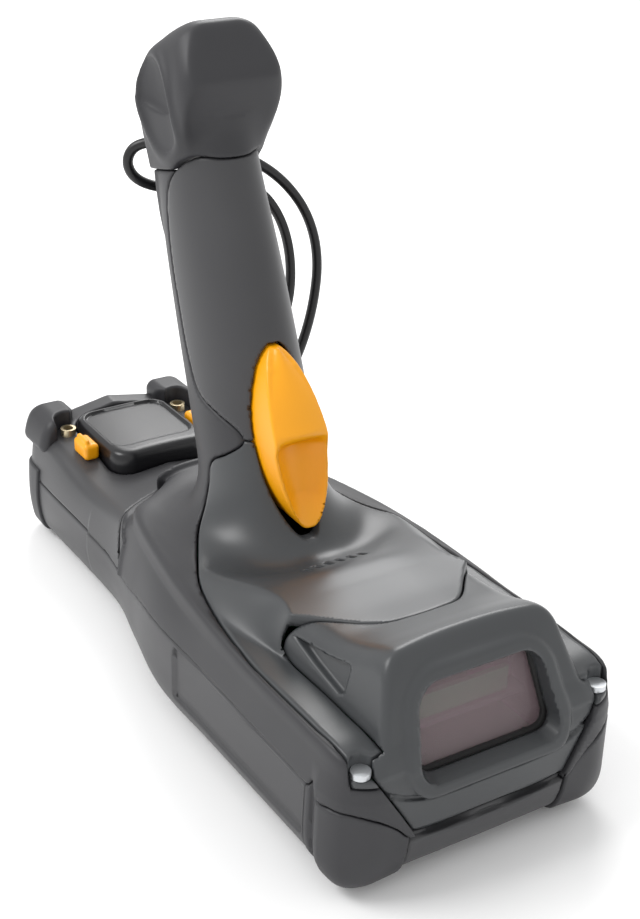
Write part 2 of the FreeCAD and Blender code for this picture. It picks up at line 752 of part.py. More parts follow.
def behind_front(depth, thickness, outline, radius):
    """Plate that lies this deep behind the hood's sloping front, with this front-view outline."""
    column = round_along_x(front_prism(outline, mid_hood_x, reach), radius)
    low_z, high_z = hood_chin_z - 20.0, hood_brow_z + 20.0
    low_x = nose_face_x - front_slope * (low_z - hood_chin_z)
    high_x = nose_face_x - front_slope * (high_z - hood_chin_z)
    along = math.sqrt(1 + front_slope * front_slope)
    near, far = -depth * along, -(depth + thickness) * along
    layer = side_prism([(low_x + near, low_z), (high_x + near, high_z), (high_x + far, high_z),
                        (low_x + far, low_z)], side_reach)
    return column.common(layer)


window_hole = round_along_x(front_prism(window_outline(0), mid_hood_x, reach), window_corner_radius)
window_gasket = behind_front(wall, gasket_thickness, window_outline(gasket_lip + 1.0), window_corner_radius)
window_gasket = window_gasket.cut(
    round_along_x(front_prism(window_outline(0.2), mid_hood_x, reach), window_corner_radius))
scan_window = behind_front(wall + gasket_thickness, window_glass, window_outline(gasket_lip), window_corner_radius)

skirt = shell.common(box(nose_face_x - 8.0, reach, -skirt_half, skirt_half, nose_seam_z + seam_gap,
                         under_hood_z + 3.0))
hood_shell = hood_outer.common(body_plan(0, 0, 0)).common(hood_region).cut(hood_cavity).cut(under_hood_space)
window_seat = behind_front(wall, 9.0, window_outline(gasket_lip + 1.0 + fit_gap), window_corner_radius)
scan_hood = fused([hood_shell, skirt]).cut(window_hole).cut(window_seat)
hood_seat = plan_prism(both_sides(hood_arc(seam_gap) + [(reach, hood_half + seam_gap)]), nose_seam_z, reach)

# Nose screws through the deck cover's front corners
nose_screws = []
nose_screw_top_z = 38.4
for y in (-nose_screw_y, nose_screw_y):
    head = Part.makeCylinder(nose_screw_head, 1.6, V(nose_screw_x, y, nose_screw_top_z))
    shank = Part.makeCylinder(nose_screw_shank, nose_screw_length,
                              V(nose_screw_x, y, nose_screw_top_z - nose_screw_length))
    nose_screws.append(fused([head, shank]))


def nose_screw_hole(y):
    head = Part.makeCylinder(nose_screw_head + fit_gap, 12.0, V(nose_screw_x, y, nose_screw_top_z - 0.02))
    shank = Part.makeCylinder(nose_screw_shank + 0.05, nose_screw_length + 2.0,
                              V(nose_screw_x, y, nose_screw_top_z - nose_screw_length - 1.0))
    return fused([head, shank])


def nose_screw_boss(y):
    return Part.makeCylinder(nose_screw_head + 1.8, 7.5, V(nose_screw_x, y, nose_screw_top_z - 6.0))


# Trigger: a leaf that stands out of the grip, turning on a pin near its upper end
def trigger_outline(grow, drop):
    """Front view of the leaf as (y, z) points."""
    low, high = trigger_tip_z - grow - drop, trigger_top_z + grow
    half = trigger_half + grow
    return both_sides_front([
        (0.26 * half, low), (0.60 * half, low + 4.2), (0.84 * half, low + 9.6), (0.98 * half, low + 17.0 + drop),
        (half, trigger_ridge_z), (0.86 * half, trigger_ridge_z + 9.0), (0.58 * half, high - 4.4),
        (0.24 * half, high)])


def trigger_side_outline():
    return [
        (trigger_tip_x, trigger_tip_z - 1.0), (trigger_tip_x - 1.4, trigger_tip_z + 8.0),
        (trigger_ridge_x + 0.8, trigger_ridge_z - 6.0), (trigger_ridge_x, trigger_ridge_z),
        (trigger_ridge_x - 4.6, trigger_ridge_z + 11.5), (trigger_top_x, trigger_top_z + 1.0),
        (trigger_top_x - trigger_depth * 0.6, trigger_top_z + 1.0),
        (trigger_ridge_x - trigger_depth, trigger_ridge_z),
        (trigger_tip_x - trigger_depth * 0.8, trigger_tip_z - 1.0)]


pin_direction = V(0, 1, 0)
trigger_leaf = front_prism(trigger_outline(0, 0), -20.0, 40.0).common(
    side_prism(trigger_side_outline(), side_reach))
trigger_hub = Part.makeCylinder(trigger_hub_radius, 2 * trigger_hub_half,
                                V(trigger_pivot_x, -trigger_hub_half, trigger_pivot_z), pin_direction)
trigger_web = box(trigger_pivot_x, trigger_top_x + 2.0, -trigger_web_half, trigger_web_half,
                  trigger_pivot_z - trigger_hub_radius, trigger_pivot_z + trigger_web_rise)
trigger_bore = Part.makeCylinder(pin_radius + running_clearance, 4 * trigger_hub_half,
                                 V(trigger_pivot_x, -2 * trigger_hub_half, trigger_pivot_z), pin_direction)
trigger = fused([trigger_leaf, trigger_hub, trigger_web]).cut(trigger_bore)
trigger_opening = front_prism(trigger_outline(trigger_clearance, trigger_drop), trigger_pivot_x - 5.0,
                              deck_valley_x + 6.0)
trigger_pin = Part.makeCylinder(pin_radius, 2 * pin_half, V(trigger_pivot_x, -pin_half, trigger_pivot_z),
                                pin_direction)
spring_wire = 0.45
spring_radius = pin_radius + spring_wire + 0.08
spring_coils = []
for side in (-1, 1):
    for turn in range(2):
        y = side * (trigger_hub_half + 0.2 + spring_wire + turn * spring_wire * 1.8)
        spring_coils.append(Part.makeTorus(spring_radius, spring_wire, V(trigger_pivot_x, y, trigger_pivot_z),
                                           pin_direction))
    leg = Part.makeCylinder(spring_wire, 6.0, V(trigger_pivot_x - spring_radius,
                                                side * (trigger_hub_half + 0.2 + spring_wire),
                                                trigger_pivot_z), V(-0.3, 0, 1))
    spring_coils.append(leg)
trigger_spring = fused(spring_coils)

switch_front_x = 9.6
switch_z = 66.0
switch_plate = box(switch_front_x - 8.6, switch_front_x - 7.0, -11.6, 11.6, switch_z - 9.0, switch_z + 9.0)
switch_case = rounded_box(switch_front_x - 7.0, switch_front_x - 1.4, -5.0, 5.0, switch_z - 6.5,
                          switch_z + 6.5, 0.8)
switch_plunger = Part.makeCylinder(1.6, 1.4, V(switch_front_x - 1.4, 0, switch_z + 1.0), V(1, 0, 0))
trigger_switch = fused([switch_plate, switch_case, switch_plunger])

# Grip front panel, with the bosses that hold the trigger pin
boss_pair = []
for side in (-1, 1):
    inner = side * boss_inner_half
    outer = side * (grip_width_mid + 2.0)
    boss = box(trigger_pivot_x - 4.0, trigger_pivot_x + 4.0, min(inner, outer), max(inner, outer),
               trigger_pivot_z - 4.0, trigger_pivot_z + 4.0)
    boss_pair.append(boss.common(grip(-wall / 2)))
panel_wall = grip_shell.cut(grip_rear_wide).cut(below_panel_foot).cut(butt_region_wide)
panel_wall = panel_wall.common(above_panel_foot)
hub_space = Part.makeCylinder(trigger_hub_radius + trigger_clearance, 2 * boss_inner_half,
                              V(trigger_pivot_x, -boss_inner_half, trigger_pivot_z), pin_direction)
grip_front_panel = fused([panel_wall.cut(trigger_opening).cut(hub_space)] + boss_pair)
pin_bore = Part.makeCylinder(pin_radius + 0.02, 2 * pin_half + 0.2,
                             V(trigger_pivot_x, -pin_half - 0.1, trigger_pivot_z), pin_direction)
grip_front_panel = grip_front_panel.cut(pin_bore)

# Deck cover: the grip's foot, the deck with its vents, and the strips beside the hood
grip_foot = grip_shell.common(below_panel_foot).cut(grip_rear_wide)
grip_foot = grip_foot.common(box(-reach, reach, -side_reach, side_reach, grip_foot_z, reach))
deck_plate = shell.common(above_seam).common(deck_region).cut(grip_inner).cut(grip_rear_wide)
deck_cover = fused([deck_plate, grip_foot]).cut(hood_seat).cut(trigger_opening)
vent_count = 6
vent_pitch = 3.7
vents = []
for index in range(vent_count):
    y = (index - (vent_count - 1) / 2) * vent_pitch
    vents.append(box(deck_vent_x - 3.0, deck_vent_x + 2.0, y - 0.6, y + 0.6, deck_hollow_z - 4.0, deck_crest_z))
deck_cover = deck_cover.cut(fused(vents))
screw_bosses = fused([nose_screw_boss(-nose_screw_y), nose_screw_boss(nose_screw_y)]).common(body_outer)
deck_cover = deck_cover.fuse(screw_bosses.common(deck_region))
deck_cover = deck_cover.cut(nose_screw_hole(-nose_screw_y)).cut(nose_screw_hole(nose_screw_y))

# Rear housing: middle body, shoulders and the grip's spine
shoulder_shell = shell.common(above_seam).cut(deck_region_wide).cut(tail_region_wide).cut(hood_seat)
shoulder_shell = shoulder_shell.cut(grip_inner)
spine = grip_shell.common(grip_rear_region).cut(butt_region_wide)
spine = spine.common(box(-reach, reach, -side_reach, side_reach, grip_foot_z - 2.0, reach))
rear_housing = fused([shoulder_shell, spine]).cut(grip_foot).cut(nose_screw_hole(-nose_screw_y))
rear_housing = rear_housing.cut(nose_screw_hole(nose_screw_y))
rear_housing = cut_both(rear_housing, nose_bumper_seat)

# Tail housing with the battery well, the latch slots and two threaded inserts
well_outer = rounded_box(battery_rear_x - battery_gap - well_wall, battery_front_x + battery_gap + well_wall,
                         -battery_half - battery_gap - well_wall, battery_half + battery_gap + well_wall,
                         battery_bottom_z - battery_gap - well_wall, battery_top_z,
                         battery_corner_radius + battery_gap + well_wall)
well_space = rounded_box(battery_rear_x - battery_gap, battery_front_x + battery_gap,
                         -battery_half - battery_gap, battery_half + battery_gap,
                         battery_bottom_z - battery_gap, reach, battery_corner_radius + battery_gap)
well_skin = well_outer.common(body_outer)
tail_shell = shell.common(above_seam).common(tail_region)
tail_housing = fused([tail_shell, well_skin]).cut(well_space)
well_floor_front = tail_dip_x + 7.0


def latch_block(grow, travel):
    inner = battery_half + battery_gap
    return box(latch_rear_x - grow, latch_front_x + grow, inner - grow, inner + latch_reach + travel + grow,
               latch_foot_z - grow, latch_top_z if grow == 0 else reach)


latch_right = latch_block(0, 0)
latch_rib = box(latch_rear_x + 1.5, latch_front_x - 1.5, battery_half + battery_gap + latch_reach - 2.6,
                battery_half + battery_gap + latch_reach - 1.0, latch_top_z, latch_top_z + 1.0)
latch_lip = box(latch_rear_x + 3.0, latch_front_x - 3.0, battery_half + battery_gap + 1.0,
                battery_half + battery_gap + latch_reach, latch_foot_z - 0.0, latch_foot_z + 0.5)
latch_right = fused([round_upright(latch_right, 1.5), latch_rib, latch_lip])
latch_slot = latch_block(0.3, latch_travel)
latch_shelf = box(latch_rear_x - 2.0, latch_front_x + 2.0, battery_half + battery_gap,
                  battery_half + battery_gap + latch_reach + latch_travel + 2.0, latch_foot_z - 2.5,
                  latch_foot_z + 2.0).common(body_inner)
tail_housing = tail_housing.fuse(latch_shelf).fuse(mirror(latch_shelf))
tail_housing = cut_both(tail_housing, latch_slot).cut(well_space)

insert_tower = Part.makeCylinder(insert_radius + 1.6, insert_length + 2.0,
                                 V(insert_x, insert_y, insert_top_z - insert_length - 2.0)).common(body_outer)
insert_hole = Part.makeCylinder(insert_radius + 0.02, insert_length + 10.0,
                                V(insert_x, insert_y, insert_top_z - insert_length - 0.02))
insert = Part.makeCylinder(insert_radius, insert_length, V(insert_x, insert_y, insert_top_z - insert_length))
insert = insert.cut(Part.makeCylinder(insert_bore, insert_length * 3,
                                      V(insert_x, insert_y, insert_top_z - insert_length * 2)))
tail_inserts = Part.makeCompound([insert, mirror(insert)])
tail_housing = tail_housing.fuse(insert_tower).fuse(mirror(insert_tower))
tail_housing = cut_both(tail_housing, insert_hole).cut(well_space)

# Ears: soft corner pieces on top of the tail
ear_region = box(-reach, ear_front_x, ear_inner_half, side_reach, ear_foot_z, reach)
ear_envelope = body(bumper_proud, ear_top_z - tail_top_z + 0.6, 0, 0, tail_face_x - tail_bumper_x)
ear_core = body(-0.1, 0.05, 0, 0, 0.05)
ear = ear_region.common(ear_envelope).cut(body_outer)
ear = ear.cut(Part.makeCylinder(insert_radius + 1.2, 40.0, V(insert_x, insert_y, 30.0)))
ear_cap_limit = box(-reach, reach, -side_reach, side_reach, 0, ear_top_z)
ear = ear.common(ear_cap_limit).cut(well_space)
tail_housing = cut_both(tail_housing, tail_bumper_seat)

# Battery, its contacts
battery_pack = rounded_box(battery_rear_x, battery_front_x, -battery_half, battery_half, battery_bottom_z,
                           battery_top_z, battery_corner_radius)
contact_recess = box(battery_front_x - 8.0, battery_front_x - 2.0, -7.0, 7.0,
                     battery_bottom_z - battery_gap - well_wall - 0.2, battery_bottom_z)
tail_housing = tail_housing.cut(contact_recess)
battery_contacts = box(battery_front_x - 8.0 + fit_gap, battery_front_x - 2.0 - fit_gap, -7.0 + fit_gap,
                       7.0 - fit_gap, battery_bottom_z - battery_gap - well_wall, battery_bottom_z - 0.2)

# Scan engine in the hood
chassis_floor_top = chassis_floor_z + chassis_floor
chassis_shelf_z = under_hood_z + 1.0
chassis = fused([
    box(chassis_rear_x, chassis_front_x, -chassis_half, chassis_half, chassis_floor_z, chassis_floor_top),
    box(chassis_rear_x, chassis_rear_x + 1.5, -chassis_half, chassis_half, chassis_floor_z, chassis_wall_top_z),
    box(chassis_rear_x, chassis_front_x - 6.0, -chassis_half, -chassis_half + 1.5, chassis_floor_z,
        chassis_wall_top_z),
    box(chassis_rear_x, chassis_front_x - 6.0, chassis_half - 1.5, chassis_half, chassis_floor_z,
        chassis_wall_top_z),
    box(chassis_rear_x + 2.0, chassis_rear_x + 12.0, -hood_half + wall + 0.3, hood_half - wall - 0.3,
        chassis_shelf_z, chassis_shelf_z + 1.6).cut(
            box(0, reach, -chassis_half + 1.0, chassis_half - 1.0, 0, reach)),
    Part.makeCylinder(mirror_shaft_radius, mirror_high_z - chassis_floor_z,
                      V(mirror_x, 0, chassis_floor_z)),
])
mirror_hub = Part.makeCylinder(mirror_shaft_radius + 1.4, mirror_high_z - mirror_low_z - 1.0,
                               V(mirror_x, 0, mirror_low_z))
mirror_plate = box(mirror_x + 1.6, mirror_x + 1.6 + mirror_thickness, -mirror_half, mirror_half,
                   mirror_low_z, mirror_high_z)
scan_mirror = fused([mirror_hub, mirror_plate]).cut(
    Part.makeCylinder(mirror_shaft_radius + running_clearance, 40.0, V(mirror_x, 0, 20.0)))
mirror_collar = Part.makeCylinder(mirror_shaft_radius + 1.0, mirror_low_z - 0.2 - chassis_floor_top,
                                  V(mirror_x, 0, chassis_floor_top))
chassis = fused([chassis, mirror_collar])
laser_module = Part.makeCylinder(laser_radius, 9.0, V(laser_x, -chassis_half + 1.6, chassis_floor_top
                                                      + laser_radius + 0.1), V(0, 1, 0))
scan_engine_board = box(engine_board_x, engine_board_x + board_thickness, -engine_board_half,
                        engine_board_half, chassis_floor_top + 0.05, engine_board_top_z)

# Butt cap over the grip's end, hollow for the tether's knot
neck_rear_x = grip_axis_x(butt_rear_z) - grip_depth_top
butt_outline = [
    (grip_axis_x(butt_front_z) + grip_depth_top, butt_front_z - 14.0),
    (butt_toe_x - 4.0, butt_front_z + 2.0), (butt_toe_x - 0.6, butt_toe_z - 10.0), (butt_toe_x, butt_toe_z),
    (butt_toe_x - 8.6, butt_top_z - 0.4), (butt_toe_x - 14.0, butt_top_z), (butt_heel_x + 14.0, butt_top_z - 3.4),
    (butt_heel_x + 7.0, butt_top_z - 9.0), (butt_heel_x + 2.2, butt_toe_z - 4.0),
    (butt_heel_x - 0.4, butt_toe_z - 14.0),
    (neck_rear_x + 0.8, butt_rear_z + 8.0), (neck_rear_x - 0.4, butt_rear_z - 10.0),
]


def butt_front_view(shrink):
    half = butt_half - shrink
    return both_sides_front([
        (grip_width_top + 0.5 - shrink, butt_rear_z - 20.0), (grip_width_top + 0.5 - shrink, butt_front_z),
        (half, butt_toe_z - 9.0), (half, butt_toe_z - 1.0),
        (half - butt_bevel * 0.7, butt_top_z - 2.0 - shrink), (half - butt_bevel * 1.6, butt_top_z + 1.0 - shrink)])


butt_body = side_prism(butt_outline, side_reach).common(front_prism(butt_front_view(0), -reach, reach))
butt_neck = grip(0.4).common(box(-reach, reach, -side_reach, side_reach, butt_rear_z - 8.0, butt_front_z + 3.0))
butt_upper = butt_body.common(box(-reach, reach, -side_reach, side_reach, butt_front_z - 1.0, reach))
butt_centre = V((butt_toe_x + butt_heel_x) / 2, 0, butt_toe_z - 3.0)
butt_hollow = butt_upper.copy()
scale = FreeCAD.Matrix()
scale.scale(butt_wall_share, butt_wall_share, butt_wall_share)
butt_hollow = butt_hollow.transformGeometry(scale)
butt_hollow.translate(butt_centre * (1 - butt_wall_share))
butt_cap = fused([butt_upper, butt_neck]).common(butt_region)
butt_socket = grip(-wall * 0.5).common(box(-reach, reach, -side_reach, side_reach, 0, butt_front_z + 2.0))
butt_cap = butt_cap.cut(butt_hollow).cut(butt_socket)


# Tether cord: straight runs joined by tangent arcs, between two ferrules in the butt cap
def cord_path(points):
    edges = []
    cursor = points[0]
    for index in range(1, len(points) - 1):
        before, corner, after = points[index - 1], points[index], points[index + 1]
        arrive, leave = corner - before, after - corner
        shorter = min(arrive.Length, leave.Length)
        turn = arrive.getAngle(leave)
        radius = 0.45 * shorter / math.tan(turn / 2)
        setback = 0.45 * shorter
        arrive.normalize()
        leave.normalize()
        start, end = corner - arrive * setback, corner + leave * setback
        inward = leave - arrive
        inward.normalize()
        apex = corner + inward * (radius / math.cos(turn / 2) - radius)
        edges.append(Part.LineSegment(cursor, start).toShape())
        edges.append(Part.Arc(start, apex, end).toShape())
        cursor = end
        print("cord bend", index, "radius", round(radius, 1))
    edges.append(Part.LineSegment(cursor, points[-1]).toShape())
    return Part.Wire(edges)


cord_wire = cord_path(cord_route)
cord_start = cord_route[1] - cord_route[0]
cord_ring = Part.Wire([Part.Circle(cord_route[0], cord_start, cord_diameter / 2).toShape()])
tether_cord = cord_wire.makePipeShell([cord_ring], True, False)
cord_volume = math.pi * cord_diameter ** 2 / 4 * cord_wire.Length
print("cord length", round(cord_wire.Length, 1), "volume ratio", round(tether_cord.Volume / cord_volume, 4))


def ferrule(tip, next_point):
    inward = tip - next_point
    inward.normalize()
    return Part.makeCylinder(ferrule_radius, ferrule_length, tip, inward)


ferrules = [ferrule(cord_route[0], cord_route[1]), ferrule(cord_route[-1], cord_route[-2])]
for piece in ferrules:
    butt_cap = butt_cap.cut(piece)

pieces = {
    "display_housing": display_housing,
    "rear_housing": rear_housing,
    "grip_front_panel": grip_front_panel,
    "deck_cover": deck_cover,
    "scan_hood": scan_hood,
    "tail_housing": tail_housing,
    "nose_bumper_right": nose_bumper,
    "nose_bumper_left": mirror(nose_bumper),
    "tail_bumper_right": tail_bumper,
    "tail_bumper_left": mirror(tail_bumper),
    "tail_ear_right": ear,
    "tail_ear_left": mirror(ear),
    "butt_cap": butt_cap,
    "scan_window": scan_window,
    "window_gasket": window_gasket,
    "scan_engine_chassis": chassis,
    "scan_mirror": scan_mirror,
    "laser_module": laser_module,
    "scan_engine_board": scan_engine_board,
    "main_board": main_board,
    "display_module": display_module,
    "touch_panel": touch_panel,
    "keypad_bezel": bezel,
    "keypad_mat": keypad_mat,
    "keypad_board": keypad_board,
    "speaker": speaker,
    "led_lens": led_lens,
    "battery_pack": battery_pack,
    "battery_latch_right": latch_right,
    "battery_latch_left": mirror(latch_right),
    "battery_contacts": battery_contacts,
    "trigger": trigger,
    "trigger_pin": trigger_pin,
    "trigger_spring": trigger_spring,
    "trigger_switch": trigger_switch,
    "tether_cord": tether_cord,
    "tether_ferrules": Part.makeCompound(ferrules),
    "tail_inserts": tail_inserts,
    "nose_screws": Part.makeCompound(nose_screws),
    "board_screws": Part.makeCompound(board_screws),
}
pieces.update(keys)
for name in pieces:
    export(name, pieces[name])
print(len(pieces), "nodes")
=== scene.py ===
# %% [markdown]
# Portable barcode data terminal
#
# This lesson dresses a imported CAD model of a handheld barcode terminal. The terminal lies on its
# display, and its pistol grip points up. The CAD model brings the exact bodies and joints. Blender
# brings what the eye wants: moulded shells that flow into each other, soft rubber corners, seams
# with real gaps, and plastics with a fine grain.

# %% Load the frame
import bpy
import numpy as np
from mathutils import Matrix, Vector


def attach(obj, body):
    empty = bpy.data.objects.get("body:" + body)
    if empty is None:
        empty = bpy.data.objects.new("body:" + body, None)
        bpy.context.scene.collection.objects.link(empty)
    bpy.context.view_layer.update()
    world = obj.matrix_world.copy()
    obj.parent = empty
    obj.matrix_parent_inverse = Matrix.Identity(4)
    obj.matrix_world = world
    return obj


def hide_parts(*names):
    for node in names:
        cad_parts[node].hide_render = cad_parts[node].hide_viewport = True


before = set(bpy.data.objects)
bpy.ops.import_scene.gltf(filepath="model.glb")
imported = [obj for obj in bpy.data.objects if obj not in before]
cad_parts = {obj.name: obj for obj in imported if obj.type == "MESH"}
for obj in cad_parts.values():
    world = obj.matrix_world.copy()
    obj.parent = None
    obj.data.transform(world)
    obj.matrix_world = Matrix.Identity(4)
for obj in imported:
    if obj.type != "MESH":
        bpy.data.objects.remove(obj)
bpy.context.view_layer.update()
MM = 0.001

# %% [markdown]
# The camera comes first, because each piece is judged from where the photograph was taken. Its
# place was found by matching straight edges and mirrored corners of the object. The lens is given
# as a focal length over a 36 mm sensor, which Blender lays along the picture's long side.

# %% Camera
photo_focal_px, photo_long_side_px = 1647.45, 919
camera_place = Vector((0.371786, -0.219661, 0.285792))
camera_right = Vector((0.52880, 0.84844, 0.02272))
camera_up = Vector((-0.39360, 0.22142, 0.89222))
camera_back = camera_right.cross(camera_up)
lens = bpy.data.cameras.new("photo lens")
lens.sensor_width = 36.0
lens.lens = photo_focal_px * lens.sensor_width / photo_long_side_px
camera = bpy.data.objects.new("photo camera", lens)
bpy.context.scene.collection.objects.link(camera)
turn = np.eye(4)
for column, axis in enumerate((camera_right, camera_up, camera_back, camera_place)):
    turn[:3, column] = axis
camera.matrix_world = Matrix(turn.tolist())
bpy.context.scene.camera = camera
print("lens", round(lens.lens, 1), "mm")

# %% [markdown]
# A free cord is a fixed length of something flexible, so it is a curve and not a mesh. The tether
# leaves the butt cap on the left, makes a small ring, and hangs in two loops behind the grip. It
# goes back into the cap on the right. A NURBS spline through loose control points gives a line
# with no kinks.

# %% Tether cord
cord_diameter = 3.2
tether_points = [
    (-56.6, -6.5, 149.0), (-60.2, -10.6, 148.4), (-62.0, -13.6, 143.2), (-61.4, -11.6, 137.4),
    (-60.4, -4.6, 133.8), (-59.6, 6.0, 132.2), (-58.8, 18.0, 132.4), (-57.0, 29.6, 129.4),
    (-54.2, 36.0, 119.6), (-51.0, 37.8, 107.4), (-48.0, 35.8, 94.6), (-45.0, 29.0, 83.0),
    (-42.4, 18.2, 76.0), (-41.0, 6.6, 72.4), (-40.6, 0.4, 65.6), (-41.2, 4.8, 57.6),
    (-42.2, 15.0, 56.2), (-43.4, 27.6, 63.0), (-45.0, 37.4, 75.4), (-48.0, 44.6, 89.8),
    (-51.6, 48.6, 105.4), (-54.8, 46.2, 119.6), (-57.6, 37.8, 131.6), (-59.6, 25.4, 140.0),
    (-59.6, 13.4, 146.0), (-56.6, 6.5, 149.0),
]
tether_curve = bpy.data.curves.new("tether", "CURVE")
tether_curve.dimensions = "3D"
tether_curve.bevel_depth = cord_diameter / 2 * MM
tether_curve.bevel_resolution = 6
tether_curve.use_fill_caps = True
tether_line = tether_curve.splines.new("NURBS")
tether_line.points.add(len(tether_points) - 1)
for point, place in zip(tether_line.points, tether_points):
    point.co = (place[0] * MM, place[1] * MM, place[2] * MM, 1.0)
tether_line.order_u = 3
tether_line.use_endpoint_u = True
tether_line.resolution_u = 12
tether = bpy.data.objects.new("tether", tether_curve)
bpy.context.scene.collection.objects.link(tether)

# %% [markdown]
# The housing's shells are moulded forms that melt into each other, and a mesh of flat faces can't
# give that. So each shell is first a field: a function that says how far a point is from the
# shell's surface, negative inside. Two fields join with a soft minimum, which leaves a fillet, and
# they cut each other with a soft maximum, which leaves a rounded edge. One small routine then
# lays a fine net of quads over the place where the field is zero.

# %% Field tools
def join(a, b, fillet):
    blend = np.maximum(fillet - np.abs(a - b), 0.0) / fillet
    return np.minimum(a, b) - blend * blend * fillet / 4


def cut(a, b, edge):
    return -join(-a, -b, edge)


def cut_all(edge, *fields):
    result = fields[0]
    for other in fields[1:]:
        result = cut(result, other, edge)
    return result


def along(position, places, values):
    """A smooth curve through these values."""
    places, values = np.asarray(places, float), np.asarray(values, float)
    slopes = np.gradient(values, places)
    position = np.clip(position, places[0], places[-1])
    index = np.clip(np.searchsorted(places, position, side="right") - 1, 0, len(places) - 2)
    span = places[index + 1] - places[index]
    share = (position - places[index]) / span
    rest = 1 - share
    bow = share * rest * span
    start_part = values[index] * rest * rest * (1 + 2 * share)
    end_part = values[index + 1] * share * share * (3 - 2 * share)
    return start_part + end_part + bow * (rest * slopes[index] - share * slopes[index + 1])


def block(x, y, z, low, high, corner=0.0):
    """Distance to a box with rounded edges."""
    apart = []
    for value, start, end in zip((x, y, z), low, high):
        apart.append(np.abs(value - (start + end) / 2) - (end - start) / 2 + corner)
    outside = np.sqrt(sum(np.maximum(a, 0) ** 2 for a in apart))
    return outside + np.minimum(np.maximum(np.maximum(apart[0], apart[1]), apart[2]), 0) - corner


def inside_outline(u, v, outline, smooth=6):
    """Signed distance in a plane to a closed outline, drawn as a smooth curve through its points."""
    corners = np.asarray(outline, float)
    if smooth > 1:
        before, after, far = np.roll(corners, 1, 0), np.roll(corners, -1, 0), np.roll(corners, -2, 0)
        steps = []
        for t in np.arange(smooth) / smooth:
            steps.append(0.5 * ((2 * corners) + (after - before) * t
                                + (2 * before - 5 * corners + 4 * after - far) * t * t
                                + (3 * corners - before - 3 * after + far) * t ** 3))
        corners = np.stack(steps, 1).reshape(-1, 2)
    nearest = np.full(np.shape(u), 1e9)
    inside = np.zeros(np.shape(u), bool)
    for (u0, v0), (u1, v1) in zip(corners, np.roll(corners, -1, 0)):
        du, dv = u1 - u0, v1 - v0
        length = du * du + dv * dv
        if length < 1e-12:
            continue
        t = np.clip(((u - u0) * du + (v - v0) * dv) / length, 0, 1)
        nearest = np.minimum(nearest, (u - u0 - t * du) ** 2 + (v - v0 - t * dv) ** 2)
        crosses = (v0 > v) != (v1 > v)
        inside ^= crosses & (u < u0 + (v - v0) * du / (dv if abs(dv) > 1e-12 else 1e-12))
    return np.where(inside, -1.0, 1.0) * np.sqrt(nearest)


# %% [markdown]
# The net is made by dual contouring. The space is split into small cells. Where the field changes
# sign along a cell edge, the crossing point and the surface's slope there are found. Each cell
# that has such crossings gets one vertex, placed where the slopes meet best, so crisp edges stay
# crisp. Each crossing edge then gives one quad between its four cells.

